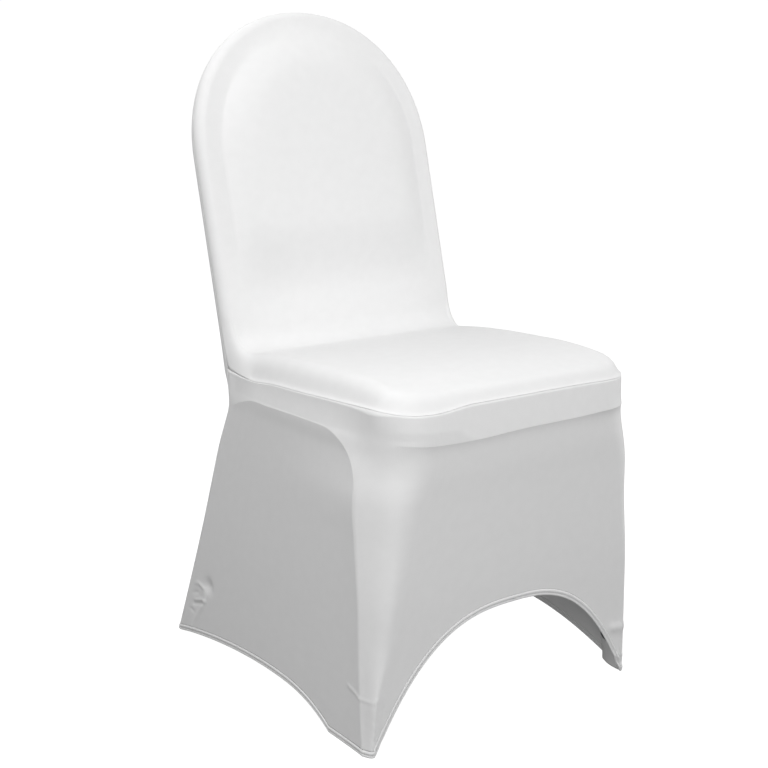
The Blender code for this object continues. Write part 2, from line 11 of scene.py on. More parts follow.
import bmesh
import bpy
import numpy as np
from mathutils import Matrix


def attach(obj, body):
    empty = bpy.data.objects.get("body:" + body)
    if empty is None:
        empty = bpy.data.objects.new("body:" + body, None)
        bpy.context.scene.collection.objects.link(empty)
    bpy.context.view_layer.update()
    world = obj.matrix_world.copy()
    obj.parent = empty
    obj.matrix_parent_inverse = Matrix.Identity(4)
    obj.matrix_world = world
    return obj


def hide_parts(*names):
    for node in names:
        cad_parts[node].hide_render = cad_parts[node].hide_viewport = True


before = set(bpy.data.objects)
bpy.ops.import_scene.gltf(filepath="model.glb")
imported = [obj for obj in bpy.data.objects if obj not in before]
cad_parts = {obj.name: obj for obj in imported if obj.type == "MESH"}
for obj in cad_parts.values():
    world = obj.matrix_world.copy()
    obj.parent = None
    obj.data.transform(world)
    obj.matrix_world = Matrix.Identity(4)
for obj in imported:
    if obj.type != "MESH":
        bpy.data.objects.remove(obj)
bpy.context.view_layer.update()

# Cloth and seams
CLOTH = 0.0013
SEAM_GAP = 0.0003
SEAM_TURN = 0.0030
SEAM_TURN_STEPS = (0.35, 1.0)
SEAM_TURN_SLOPE = 0.35
MERGE_DISTANCE = 0.00002
SMALLEST_LENGTH = 1e-12

# Back: its front plane leans back from a line just above the seat
BACK_FOOT_Y = 0.108
BACK_FOOT_Z = 0.45
BACK_LEAN = math.atan(0.25)
BACK_HALF_WIDTH = 0.204
BACK_THICKNESS = 0.032
BACK_EDGE_ROUND = 0.013
ARCH_START = 0.290
ARCH_TOP = 0.4985
ARCH_POWER = 2.1
PAD_CROWN = 0.021
PAD_EDGE = 0.35
PAD_INSET = 0.12
PAD_FIRMNESS = 0.8
PAD_FADE_FROM = 0.08
PAD_FADE_TO = 0.19

# Seat: outline of its seam and the height of its top along the middle
SEAT_HALF_WIDTH = 0.2075
SEAT_FRONT_Y = -0.279
SEAT_CORNER = 0.060
SEAT_SHOULDER = 0.027
SEAT_CROWN = 0.004
SEAT_TOP_COLUMNS = ("y", "z")
SEAT_TOP = (
    (-0.252, 0.4665),
    (-0.210, 0.4735),
    (-0.160, 0.4768),
    (-0.100, 0.4760),
    (-0.030, 0.4738),
    (0.030, 0.4695),
    (0.077, 0.4640),
)
VALLEY_FOLD = 0.010
VALLEY_END = 0.045
JUNCTION_Z = 0.4386

# The seat's sewn rim, from its face (0, 0) to its seam (1, 1); the back's edge is a plain quarter round
EDGE_COLUMNS = ("out", "down")
SEAT_EDGE = (
    (0.00, 0.00), (0.25, 0.09), (0.45, 0.23), (0.62, 0.43),
    (0.75, 0.66), (0.86, 0.86), (1.00, 1.00),
)
EDGE_STEPS = 18

# Height of the seam between the seat and the skirt, along the side and round the front
SIDE_SEAM_COLUMNS = ("y", "z")
SIDE_SEAM = (
    (-0.219, 0.4463),
    (-0.140, 0.4438),
    (-0.060, 0.4404),
    (0.000, 0.4380),
    (0.050, 0.4334),
    (0.085, 0.4346),
    (0.118, JUNCTION_Z),
)
FRONT_SEAM_Z = 0.4465
CORNER_SEAM_SAG = {-1: 0.004, 1: 0.001}
CORNER_SAG_SPREAD = 1.3
FRONT_SAG_SPREAD = 2.5

# Half plan of the wall below the seat, a row for each height
WALL_COLUMNS = (
    "z", "edge_x", "edge_y", "rear_y", "middle_x", "side_x", "front_y", "round_x", "round_y",
)
WALL = (
    (0.4500, 0.2045, 0.1195, 0.1405, 0.2072, 0.2070, -0.2785, 0.060, 0.060),
    (0.4350, 0.2050, 0.1175, 0.1370, 0.2095, 0.2085, -0.2790, 0.060, 0.061),
    (0.4110, 0.2068, 0.1135, 0.1200, 0.2155, 0.2150, -0.2797, 0.060, 0.066),
    (0.3850, 0.2078, 0.1115, 0.1185, 0.2155, 0.2162, -0.2790, 0.055, 0.066),
    (0.3600, 0.2080, 0.1230, 0.1290, 0.2158, 0.2195, -0.2770, 0.050, 0.066),
    (0.3350, 0.2080, 0.1360, 0.1415, 0.2162, 0.2232, -0.2740, 0.045, 0.066),
    (0.2700, 0.2082, 0.1625, 0.1685, 0.2168, 0.2245, -0.2675, 0.035, 0.055),
    (0.2000, 0.2088, 0.1895, 0.1955, 0.2178, 0.2255, -0.2615, 0.020, 0.042),
    (0.1100, 0.2095, 0.2270, 0.2335, 0.2190, 0.2272, -0.2540, 0.011, 0.030),
    (0.0000, 0.2105, 0.2750, 0.2808, 0.2210, 0.2310, -0.2490, 0.010, 0.013),
)
REAR_CORNER_ROUND = 0.010
RIDGE_Z = 0.411
RIDGE_MARGIN = 0.012

# Hard edge of the seat's rail, which presses a ridge into each side: its height along the side, and how
# round it turns down the front leg. Above it the cloth leans in, and below it lies a little hollow.
SIDE_RIDGE_COLUMNS = ("y", "z")
SIDE_RIDGE = (
    (-0.2000, 0.4090),
    (-0.1400, 0.4095),
    (-0.0800, 0.4098),
    (0.0000, 0.4080),
    (0.0500, 0.4062),
    (0.0800, 0.3980),
    (0.1000, 0.3905),
    (0.1200, 0.3830),
)
RIDGE_TURN = 0.085
RIDGE_REAR_FADE = 0.07
BAND_LEAN = 0.27
BAND_LEAN_REACH = 0.06
REAR_LEAN_LOSS = 0.62
REAR_LEAN_Y = (0.02, 0.115)
SIDE_HOLLOW = 0.0014
SIDE_HOLLOW_REACH = 0.018

# The front leg's edge: how sharply the cloth turns at it, and where that begins under the seat
LEG_TURN = {-1: 0.48, 1: 0.05}
LEG_SPREAD = {-1: 0.018, 1: 0.0}
LEG_TURN_TOP = 0.425
LEG_TURN_FADE = 0.07
LEG_SPREAD_FROM = (0.06, 0.16)
LEG_CURVE_LIMIT = 0.9
LEG_CURVE_END = 0.6

# The same rail across the front, and the step under it, which is deepest at its right end
FRONT_RIDGE_COLUMNS = ("x", "z")
FRONT_RIDGE = (
    (-0.2150, 0.4080),
    (-0.1900, 0.4055),
    (-0.1600, 0.4032),
    (-0.0900, 0.4008),
    (0.0000, 0.4034),
    (0.1000, 0.4040),
    (0.1500, 0.4055),
    (0.2150, 0.4080),
)
FRONT_LEAN = 0.096
FRONT_LEAN_RISE = 0.017
FRONT_LEAN_RISE_X = (-0.120, -0.080)
FRONT_STEP_LEFT = 0.0028
FRONT_STEP_RIGHT = 0.0050
FRONT_STEP_RIGHT_X = (0.070, 0.190)
FRONT_STEP_LEFT_X = (-0.205, -0.180)
FRONT_STEP_REACH = 0.008
FRONT_STEP_END = (0.05, 0.36)

# Arches of the lower edge
FRONT_ARCH = {"height": 0.161, "reach": 0.2200, "power": 2.7}
REAR_ARCH = {"height": 0.150, "reach": 0.1960, "power": 2.7}
SIDE_ARCHES = {
    -1: {"height": 0.031, "front": 0.155, "front_power": 2.8, "rear": 0.270, "rear_power": 1.8},
    1: {"height": 0.062, "front": 0.238, "front_power": 2.0, "rear": 0.270, "rear_power": 1.8},
}

# Elastic binding round the lower edge: a folded upper ridge, its stitched groove and a thin lower edge. Each
# point of its half section gives how far up it lies and how far out.
BINDING_HEIGHT = 0.0085
BINDING_HALF_THICKNESS = 0.0017
BINDING_PROFILE = (
    (0.00, 0.35), (0.06, 0.62), (0.16, 0.78), (0.27, 0.70), (0.35, 0.38),
    (0.43, 0.34), (0.52, 0.72), (0.64, 1.00), (0.78, 1.00), (0.90, 0.78), (1.00, 0.45),
)
BINDING_CLOTH_GAP = 0.0001

# Pouches inside the feet: the height, how far along the side they reach at the floor and at the top, the
# round of the corner, how much of the floor's edge sags, and the size each one is cut to
POCKET_CLOTH = 0.0012
POCKET_INSET = 0.0032
POCKET_FLOOR = 0.0004
POCKET_ROWS = 14
POCKET_TURN_STEPS = 6
POCKET_BULGE = 0.10
POCKET_BULGE_STEPS = 10
POCKET_ARCH_GAP = 0.002
POCKET_MIN_EDGE = 0.001
POCKET_COLUMNS = ("height", "floor_y", "top_y", "turn", "sag", "flat")
POCKETS = {
    ("front", -1): (0.068, -0.212, -0.187, 0.017, 0.0, (0.10, 0.09)),
    ("front", 1): (0.052, -0.208, -0.207, 0.010, 0.65, (0.09, 0.075)),
    ("rear", -1): (0.088, 0.250, 0.192, 0.006, 0.0, (0.10, 0.09)),
    ("rear", 1): (0.088, 0.258, 0.192, 0.006, 0.0, (0.10, 0.09)),
}

# Ridges and troughs in the cloth at the feet, where the pouches' edges are sewn and the hem pulls. Each
# has its height out of the cloth (a trough's is negative), its half width, and its line on that face:
# the y or the distance across of each point, and its height.
FOOT_RELIEF = {
    ("side", -1): (
        (0.0008, 0.0026, ((-0.200, 0.082), (-0.218, 0.078), (-0.226, 0.074))),
        (0.0014, 0.0030, ((0.220, 0.091), (0.212, 0.094), (0.193, 0.089), (0.193, 0.071))),
        (0.0013, 0.0030, ((0.193, 0.070), (0.224, 0.032), (0.234, 0.014))),
        (-0.0011, 0.0026, ((0.230, 0.073), (0.215, 0.078))),
        (0.0011, 0.0028, ((0.222, 0.063), (0.197, 0.071))),
        (-0.0019, 0.0028, ((0.228, 0.056), (0.200, 0.065))),
        (-0.0012, 0.0028, ((0.238, 0.045), (0.229, 0.043))),
        (-0.0040, 0.0100, ((0.179, 0.098), (0.181, 0.097))),
    ),
    ("side", 1): (
        (0.0008, 0.0026, ((-0.205, 0.080), (-0.230, 0.073))),
        (0.0009, 0.0028, ((0.195, 0.086), (0.198, 0.068), (0.230, 0.025))),
        (-0.0007, 0.0026, ((0.225, 0.060), (0.205, 0.065))),
    ),
    ("front", -1): (
        (0.0006, 0.0028, ((0.226, 0.079), (0.212, 0.076))),
        (-0.0007, 0.0026, ((0.210, 0.064), (0.210, 0.050), (0.211, 0.013))),
        (-0.0004, 0.0022, ((0.234, 0.060), (0.219, 0.046))),
        (-0.0004, 0.0022, ((0.230, 0.044), (0.218, 0.031))),
        (-0.0004, 0.0022, ((0.228, 0.030), (0.217, 0.018))),
    ),
    ("front", 1): (
        (0.0024, 0.0060, ((0.196, 0.073), (0.217, 0.070))),
        (0.0012, 0.0034, ((0.201, 0.030), (0.222, 0.025))),
        (-0.0014, 0.0028, ((0.201, 0.020), (0.222, 0.014))),
        (0.0010, 0.0032, ((0.204, 0.013), (0.222, 0.006))),
    ),
}

# Camera, at the photo's place
CAMERA_PLACE = (-1.2081, -1.5855, 0.8587)
CAMERA_TURN_DEG = -36.866
CAMERA_DOWN_DEG = 12.678
CAMERA_LENS_MM = 67.06
CAMERA_SENSOR_MM = 36.0

# Soft studio light: each one's place, the point it faces, its size and its power
WORLD_GLOW = 0.22
LIGHTS = (
    ("camera_high", (-1.5, -1.9, 2.1), (0.0, 0.0, 0.5), (1.6, 1.6), 18.0),
    ("top_left", (-1.8, -0.2, 2.3), (0.0, 0.0, 0.5), (1.8, 1.8), 13.0),
    ("left_steep", (-1.1, -0.1, 2.8), (0.0, 0.0, 0.5), (1.4, 1.4), 10.0),
    ("left_high", (-2.3, -0.5, 1.6), (0.0, 0.0, 0.5), (1.6, 1.6), 3.0),
    ("front_low", (-0.6, -2.5, 0.6), (0.0, 0.0, 0.4), (1.4, 1.0), 12.0),
    ("right_low", (2.5, -0.5, 0.8), (0.0, 0.0, 0.4), (1.4, 1.4), 26.0),
    ("rear_top", (0.0, 1.9, 2.4), (0.0, 0.0, 0.5), (1.8, 1.8), 23.0),
    ("close_back", (-0.2, -1.0, 1.7), (0.0, 0.1, 0.7), (0.8, 0.8), 5.2),
)

# Pale floor that rises into a round cove all round, and glows so that it shows nearly white
FLOOR_COLOUR = "#7A7A7A"
FLOOR_GLOW = 0.98
FLOOR_DROP = 0.0006
COVE_START = 8.0
COVE_ROUND = 4.0
COVE_STEPS = 16
COVE_SEGMENTS = 96

# Threads and stitches, in millimetres, and the white of the cloth where it is close and where it is thin
WALE_PITCH_MM = 1.3
COURSE_PITCH_MM = 1.6
RIB_PITCH_MM = 0.9
STITCH_PITCH_MM = 2.6
STITCH_HALF_WIDTH_MM = 0.9
STITCH_HEIGHT_SHARE = 0.39
TENSION_PATCH_MM = 29.41
DENSITY_PATCH_MM = 16.67
WHITE = "#F0F0F0"
WHITE_THIN = "#EEEEEE"

# Places of the colour sockets among a Mix node's sockets, which share their names with its other kinds
MIX_FIRST_COLOUR = 6
MIX_SECOND_COLOUR = 7
MIX_RESULT_COLOUR = 2


def joined(*stretches):
    """Steps of several stretches one after another, each (start, end, count), with no step twice."""
    steps = [np.linspace(start, end, count, endpoint=False) for start, end, count in stretches]
    return np.concatenate(steps + [[stretches[-1][1]]])


# Columns across each zone of the wall, and rows down it, closer where the cloth turns or wrinkles
SIDE_STEPS = joined((0.0, 0.20, 30), (0.20, 0.78, 34), (0.78, 1.0, 32))
CORNER_STEPS = np.linspace(0, 1, 19)
FRONT_STEPS = joined((0.0, 0.20, 18), (0.20, 1.0, 30))
BAND_ROWS = 20
UPPER_ROWS = 24
RIDGE_ROW_POWER = 1.7
LOWER_ROWS = 96
FOOT_ROWS_SHARE = 0.5
FOOT_HEIGHT_SHARE = 0.30
UPPER_END = 0.335
FACE_CORNER_STEPS = 8
SEAT_ROWS = 44
VALLEY_ROWS = 20
SADDLE_ROWS = 3
SADDLE_ROUNDS = 400
WAIST_ROWS = 8
REAR_CORNER_STEPS = 9
BACK_ROWS = 34
ARCH_SIDE_ROWS = 20
ARCH_SPLIT_DEG = 48

# Rounds that settle the height of a line on the leaning wall
HEM_ROUNDS = 12
RIDGE_ROUNDS = 6


def smooth(value):
    """Soft step from 0 to 1."""
    value = np.clip(value, 0.0, 1.0)
    return value * value * (3 - 2 * value)


def between(value, limits):
    """Soft step from 0 at the first limit to 1 at the second."""
    return smooth((value - limits[0]) / (limits[1] - limits[0]))


def cubic(step, *controls):
    """Curve from the first of four control values to the last."""
    weights = ((1 - step) ** 3, 3 * step * (1 - step) ** 2, 3 * step**2 * (1 - step), step**3)
    return sum(weight * control for weight, control in zip(weights, controls))


def table_curve(table, columns, name, at):
    """One column of a table as a smooth curve through its points, read at one or many places."""
    rows = sorted(table)
    known = np.array([row[0] for row in rows])
    values = np.array([row[columns.index(name)] for row in rows])
    gaps = np.diff(known)
    slopes = np.diff(values) / gaps
    tangents = np.empty(len(known))
    tangents[0] = slopes[0]
    tangents[-1] = slopes[-1]
    tangents[1:-1] = (slopes[:-1] * gaps[1:] + slopes[1:] * gaps[:-1]) / (gaps[:-1] + gaps[1:])
    at = np.clip(at, known[0], known[-1])
    i = np.clip(np.searchsorted(known, at, side="right") - 1, 0, len(gaps) - 1)
    t = (at - known[i]) / gaps[i]
    start = values[i] * (1 + 2 * t) * (1 - t) ** 2 + tangents[i] * gaps[i] * t * (1 - t) ** 2
    end = values[i + 1] * t * t * (3 - 2 * t) + tangents[i + 1] * gaps[i] * t * t * (t - 1)
    return start + end


def rounded_depth(below, beside, radius):
    """Distance inside a region whose two edges meet in a round corner."""
    inner = radius - np.hypot(np.maximum(radius - below, 0), np.maximum(radius - beside, 0))
    return np.where((below < radius) & (beside < radius), inner, np.minimum(below, beside))


def side_ridge(y, corner_y):
    """Height of the ridge that the seat's rail presses into the side, down to where it turns vertical."""
    top = table_curve(SIDE_RIDGE, SIDE_RIDGE_COLUMNS, "z", y)
    short = np.clip(RIDGE_TURN - (y - corner_y), 0.0, RIDGE_TURN)
    return top - RIDGE_TURN + np.sqrt(RIDGE_TURN**2 - short**2)


def side_relief(y, z, corner_y):
    """How far the side is drawn in: leaning in outside the ridge, and hollow inside it."""
    below = table_curve(SIDE_RIDGE, SIDE_RIDGE_COLUMNS, "z", y) - z
    depth = rounded_depth(below, y - corner_y, RIDGE_TURN)
    outside = np.maximum(-depth, 0.0)
    rear = 1 - REAR_LEAN_LOSS * between(y, REAR_LEAN_Y)
    lean = rear * BAND_LEAN * outside / (1 + (outside / BAND_LEAN_REACH) ** 2)
    return lean + SIDE_HOLLOW * (1 - np.exp(-np.maximum(depth, 0.0) / SIDE_HOLLOW_REACH))


def line_distance(u, v, line):
    """Distance from points of a plane to a line of straight lengths."""
    nearest = np.full(np.shape(u), np.inf)
    for (u0, v0), (u1, v1) in zip(line, line[1:]):
        length = (u1 - u0) ** 2 + (v1 - v0) ** 2
        share = np.clip(((u - u0) * (u1 - u0) + (v - v0) * (v1 - v0)) / length, 0.0, 1.0)
        nearest = np.minimum(nearest, np.hypot(u - u0 - share * (u1 - u0), v - v0 - share * (v1 - v0)))
    return nearest


def foot_relief(face, side, u, z):
    """How far ridges stand out of one face of the wall at its feet; u is its y or its distance across."""
    total = np.zeros(np.shape(u))
    for height, width, line in FOOT_RELIEF[face, side]:
        total = total + height * np.exp(-((line_distance(u, z, line) / width) ** 2))
    return total


def front_relief(x, z):
    """How far the front is drawn in: leaning in above the rail's edge, and stepped in below it."""
    ridge = table_curve(FRONT_RIDGE, FRONT_RIDGE_COLUMNS, "z", x)
    start = ridge + FRONT_LEAN_RISE * (1 - between(x, FRONT_LEAN_RISE_X))
    lean = FRONT_LEAN * np.maximum(z - start, 0.0)
    depth = FRONT_STEP_LEFT + (FRONT_STEP_RIGHT - FRONT_STEP_LEFT) * between(x, FRONT_STEP_RIGHT_X)
    depth = depth * between(x, FRONT_STEP_LEFT_X) * between(z, FRONT_STEP_END)
    return lean + depth * (1 - np.exp(-np.maximum(ridge - z, 0.0) / FRONT_STEP_REACH))


def side_face(step, side, z):
    """Distance across, and y, of the side face's points below the seat."""
    low = np.minimum(z, RIDGE_Z)
    corner_y = wall_value("front_y", low) + wall_value("round_y", z)
    edge_y = wall_value("edge_y", z)
    y = edge_y + step * (corner_y - edge_y)
    edge_x = wall_value("edge_x", low)
    side_x = wall_value("side_x", low)
    bow = wall_value("middle_x", low) - (edge_x + side_x) / 2
    x = edge_x + step * (side_x - edge_x) + 4 * bow * step * (1 - step)
    share = smooth(step / RIDGE_REAR_FADE)
    x = x - share * side_relief(y, z, corner_y) - (1 - share) * (edge_x - wall_value("edge_x", z))
    return x + share * foot_relief("side", side, y, z), y


def wall_value(name, z):
    """One column of the wall's table."""
    return table_curve(WALL, WALL_COLUMNS, name, z)


def wall(zone, step, side, z):
    """Points of the wall: side +1 is the right half, and step runs 0 to 1 along its zone.

    The side runs from the rear seam to the front corner, the corner from the side to the front, the
    front from the corner to the middle, the rear corner from the rear seam to the rear face, and the
    rear from there to the middle. Under the seat the corner changes from a quarter ellipse to the
    sharper turn of the leg's edge.
    """
    step, z = np.broadcast_arrays(np.asarray(step, float), np.asarray(z, float))
    if zone == "side":
        x, y = side_face(step, side, z)
    elif zone in ("corner", "front"):
        corner_x, corner_y = side_face(np.ones_like(step), side, z)
        share = smooth((LEG_TURN_TOP - z) / LEG_TURN_FADE)
        round_x = wall_value("round_x", z) + LEG_SPREAD[side] * share * between(z, LEG_SPREAD_FROM)
        round_y = wall_value("round_y", z)
        turn = step * math.pi / 2
        first = 1 - np.minimum(LEG_TURN[side] * round_y / round_x, LEG_CURVE_LIMIT) / 2
        crossing = cubic(step, 1.0, first, LEG_CURVE_END, 0.0)
        reaching = cubic(step, 0.0, 0.5, 1.0, 1.0)
        across = (1 - share) * np.cos(turn) + share * crossing
        along = (1 - share) * np.sin(turn) + share * reaching
        if zone == "front":
            x = (corner_x - round_x) * (1 - step)
            y = corner_y - round_y + front_relief(side * x, z) - foot_relief("front", side, x, z)
        else:
            x = corner_x - round_x * (1 - across)
            relief = front_relief(side * x, z) - foot_relief("front", side, x, z)
            y = corner_y - round_y * along + relief * along
    elif zone == "rear corner":
        angle = (1 - step) * math.pi / 2
        edge_y = wall_value("edge_y", z)
        rear_y = wall_value("rear_y", z)
        x = wall_value("edge_x", z) - REAR_CORNER_ROUND * (1 - np.sin(angle))
        y = rear_y - (rear_y - edge_y) * (1 - np.cos(angle))
    else:
        x = (wall_value("edge_x", z) - REAR_CORNER_ROUND) * (1 - step)
        y = wall_value("rear_y", z)
    return np.stack([side * x, y, z], axis=-1)


def ridge_z(zone, step, side):
    """Height at which the columns of the wall have a row on the ridge."""
    if zone == "rear":
        return np.full(np.shape(step), RIDGE_Z)
    if zone == "side":
        z = np.full(np.shape(step), RIDGE_Z)
        for _ in range(RIDGE_ROUNDS):
            corner_y = side_face(np.ones_like(step), side, z)[1]
            z = side_ridge(side_face(step, side, z)[1], corner_y)
        return np.maximum(z, UPPER_END + RIDGE_MARGIN)
    x = wall(zone, step, side, np.full(np.shape(step), RIDGE_Z))[..., 0]
    front = table_curve(FRONT_RIDGE, FRONT_RIDGE_COLUMNS, "z", x)
    if zone == "front":
        return front
    start = float(ridge_z("side", np.ones(1), side)[0])
    return start + (front - start) * smooth(2 * step)


def arch_height(distance, arch, lift):
    """Height of an arch of the lower edge, raised and widened by lift."""
    share = np.minimum(np.abs(distance) / (arch["reach"] + lift), 1.0)
    return (arch["height"] + lift) * (1 - share ** arch["power"])


def side_arch_height(y, arch, lift):
    """Height of a side's shallow arch, which is highest at y = 0 and steeper towards the front."""
    reach = np.where(y < 0, arch["front"], arch["rear"])
    power = np.where(y < 0, arch["front_power"], arch["rear_power"])
    share = np.minimum(np.abs(y) / reach, 1.0)
    return lift + arch["height"] * (1 - share**power)


def hem_z(zone, step, side, lift=0.0):
    """Height of the lower edge at columns of the wall: of the binding, or of the cloth with a lift."""
    z = np.full(np.shape(step), float(lift))
    for _ in range(HEM_ROUNDS):
        place = wall(zone, step, side, z)
        if zone == "front":
            z = np.maximum(lift, arch_height(place[..., 0], FRONT_ARCH, lift))
        elif zone == "rear":
            z = np.maximum(lift, arch_height(place[..., 0], REAR_ARCH, lift))
        elif zone == "side":
            z = side_arch_height(place[..., 1], SIDE_ARCHES[side], lift)
    return z


def seat_seam_z(zone, step, side):
    """Height of the seat's seam at columns of the wall."""
    sag = CORNER_SEAM_SAG[side]
    if zone == "side":
        edge_y = SIDE_SEAM[-1][0]
        y = edge_y + step * (SEAT_FRONT_Y + SEAT_CORNER - edge_y)
        return table_curve(SIDE_SEAM, SIDE_SEAM_COLUMNS, "z", y)
    if zone == "corner":
        return FRONT_SEAM_Z - sag * smooth(CORNER_SAG_SPREAD * step)
    return FRONT_SEAM_Z - sag * (1 - smooth(FRONT_SAG_SPREAD * step))


def back_point(x, along, depth):
    """Points of the back, from their distance up the lean and behind its front plane."""
    x, along, depth = np.broadcast_arrays(x, along, depth)
    y = BACK_FOOT_Y + along * math.sin(BACK_LEAN) + depth * math.cos(BACK_LEAN)
    z = BACK_FOOT_Z + along * math.cos(BACK_LEAN) - depth * math.sin(BACK_LEAN)
    return np.stack([x, y, z], axis=-1)


def back_outline(angles_deg, inset):
    """Distance across and up the lean of the back's arch, at angles from its start to its top."""
    turn = np.radians(angles_deg)
    across = (BACK_HALF_WIDTH - inset) * np.maximum(np.cos(turn), 0.0) ** (2 / ARCH_POWER)
    along = ARCH_START + (ARCH_TOP - ARCH_START - inset) * np.sin(turn) ** (2 / ARCH_POWER)
    return np.stack([np.where(across < MERGE_DISTANCE, 0.0, across), along], axis=-1)


def pad(x, along):
    """How far the back's pad stands forward of the plane of its edges; it is firmer towards its sides."""
    width = BACK_HALF_WIDTH - BACK_EDGE_ROUND
    height = ARCH_TOP - ARCH_START - BACK_EDGE_ROUND
    above = np.maximum(along - ARCH_START, 0.0) / height
    level = ((np.abs(x) / width) ** ARCH_POWER + above**ARCH_POWER) ** (1 / ARCH_POWER)
    inside = np.clip((1 - level) / PAD_EDGE, 0.0, 1.0)
    inset = np.clip((1 - PAD_INSET - level) / PAD_EDGE, 0.0, 1.0)
    firm = PAD_FIRMNESS * smooth((x + width) / (2 * width)) ** 2
    rise = firm * (1 - (1 - inset) ** 2) + (1 - firm) * smooth(inside)
    fade = smooth((along - PAD_FADE_FROM) / (PAD_FADE_TO - PAD_FADE_FROM))
    return PAD_CROWN * rise * fade


def seat_top_z(x, y):
    """Height of the seat's top, crowned between its sides."""
    z = table_curve(SEAT_TOP, SEAT_TOP_COLUMNS, "z", y)
    across = np.minimum(np.abs(x) / (SEAT_HALF_WIDTH - SEAT_SHOULDER), 1.0)
    first_y = SEAT_TOP[0][0]
    last_y = SEAT_TOP[-1][0]
    middle = (first_y + last_y) / 2
    along = np.minimum(np.abs(y - middle) / (last_y - middle), 1.0)
    return z + SEAT_CROWN * (1 - across**2) * (1 - along**4)


def seat_point(x, y):
    """Points of the seat's top."""
    x, y = np.broadcast_arrays(x, y)
    return np.stack([x, y, seat_top_z(x, y)], axis=-1)


def valley_point(x, step):
    """Points of the soft fold between the seat and the back."""
    start_y = SEAT_TOP[-1][0]
    start = seat_point(x, start_y)
    end = back_point(x, VALLEY_END, 0.0)
    fold = back_point(x, VALLEY_FOLD, 0.0)
    return (1 - step) ** 2 * start + 2 * step * (1 - step) * fold + step**2 * end


def blended_patch(bottom, top, inner, outer):
    """Rows of points that fill a patch between its four edges."""
    u = np.linspace(0, 1, len(bottom))[None, :, None]
    v = np.linspace(0, 1, len(inner))[:, None, None]
    edges = (1 - v) * bottom[None] + v * top[None] + (1 - u) * inner[:, None] + u * outer[:, None]
    corners = (1 - u) * (1 - v) * bottom[0] + u * (1 - v) * bottom[-1]
    return edges - corners - (1 - u) * v * top[0] - u * v * top[-1]


def straight(start, end, count):
    """Evenly spaced points on a line."""
    steps = np.linspace(0, 1, count)[:, None]
    return np.asarray(start) * (1 - steps) + np.asarray(end) * steps


def seat_corner(steps):
    """The seat face's front corner in plan, from the side (0) to the front (1)."""
    tight = SEAT_CORNER - SEAT_SHOULDER
    x = SEAT_HALF_WIDTH - SEAT_CORNER + tight * np.cos(steps * math.pi / 2)
    y = SEAT_FRONT_Y + SEAT_CORNER - tight * np.sin(steps * math.pi / 2)
    return np.stack([x, y], axis=-1)


def across_shares():
    """How far out each column of a panel's face lies, from the middle (0) to the side (1)."""
    half = FACE_CORNER_STEPS
    corner_x = seat_corner(np.linspace(1, 0.5, half + 1)[1:])[:, 0]
    front_x = (1 - FRONT_STEPS[::-1]) * (SEAT_HALF_WIDTH - SEAT_CORNER)
    xs = np.concatenate([front_x, corner_x])
    return xs / xs[-1]


def arch_patch(inset):
    """Rows of distance across and up the lean that fill the back's arch, for its right half."""
    shares = across_shares()
    width = BACK_HALF_WIDTH - inset
    bottom = np.stack([shares * width, np.full(len(shares), ARCH_START)], axis=-1)
    top = back_outline(np.linspace(90, ARCH_SPLIT_DEG, len(shares)), inset)
    outer = back_outline(np.linspace(0, ARCH_SPLIT_DEG, ARCH_SIDE_ROWS + 1), inset)
    inner = straight(bottom[0], top[0], ARCH_SIDE_ROWS + 1)
    return blended_patch(bottom, top, inner, outer)[1:]


def with_cloth(points, along):
    """Points with their place on the flat cloth: how far across and how far along it they lie."""
    across, along = np.broadcast_arrays(points[..., 0], along)
    return np.concatenate([points, across[..., None], along[..., None]], axis=-1)


def inside_face():
    """Rows of the inside panel's face for its right half, from the seat's front to the back's top."""
    shares = across_shares()
    width = SEAT_HALF_WIDTH - SEAT_SHOULDER
    corner_y = SEAT_FRONT_Y + SEAT_CORNER
    half = FACE_CORNER_STEPS
    front_x = (1 - FRONT_STEPS[::-1]) * (SEAT_HALF_WIDTH - SEAT_CORNER)
    front = np.stack([front_x, np.full(len(front_x), SEAT_FRONT_Y + SEAT_SHOULDER)], axis=-1)
    front = np.concatenate([front, seat_corner(np.linspace(1, 0.5, half + 1)[1:])])
    level = np.stack([shares * width, np.full(len(shares), corner_y)], axis=-1)
    outer = seat_corner(np.linspace(0.5, 0, half + 1))
    inner = straight(front[0], level[0], half + 1)
    plan = blended_patch(front, level, inner, outer)
    rows = [with_cloth(seat_point(plan[..., 0], plan[..., 1]), plan[..., 1])]
    last_y = SEAT_TOP[-1][0]
    ys = np.linspace(corner_y, last_y, SEAT_ROWS + 1)[1:, None]
    rows.append(with_cloth(seat_point(shares * width, ys), ys))
    steps = np.linspace(0, 1, VALLEY_ROWS + 1)[1:]
    back_width = BACK_HALF_WIDTH - BACK_EDGE_ROUND
    along = last_y
    before = valley_point(0.0, 0.0)
    for step in steps:
        xs = shares * (width + (back_width - width) * step)
        row = valley_point(xs, step)
        along = along + float(np.linalg.norm(row[0] - before))
        before = row[0]
        rows.append(with_cloth(row, along)[None])
    ups = np.linspace(VALLEY_END, ARCH_START, BACK_ROWS + 1)[1:, None]
    xs = shares * back_width
    rows.append(with_cloth(back_point(xs, ups, -pad(xs, ups)), along + ups - VALLEY_END))
    arch = arch_patch(BACK_EDGE_ROUND)
    xs, ups = arch[..., 0], arch[..., 1]
    rows.append(with_cloth(back_point(xs, ups, -pad(xs, ups)), along + ups - VALLEY_END))
    return np.concatenate(rows)


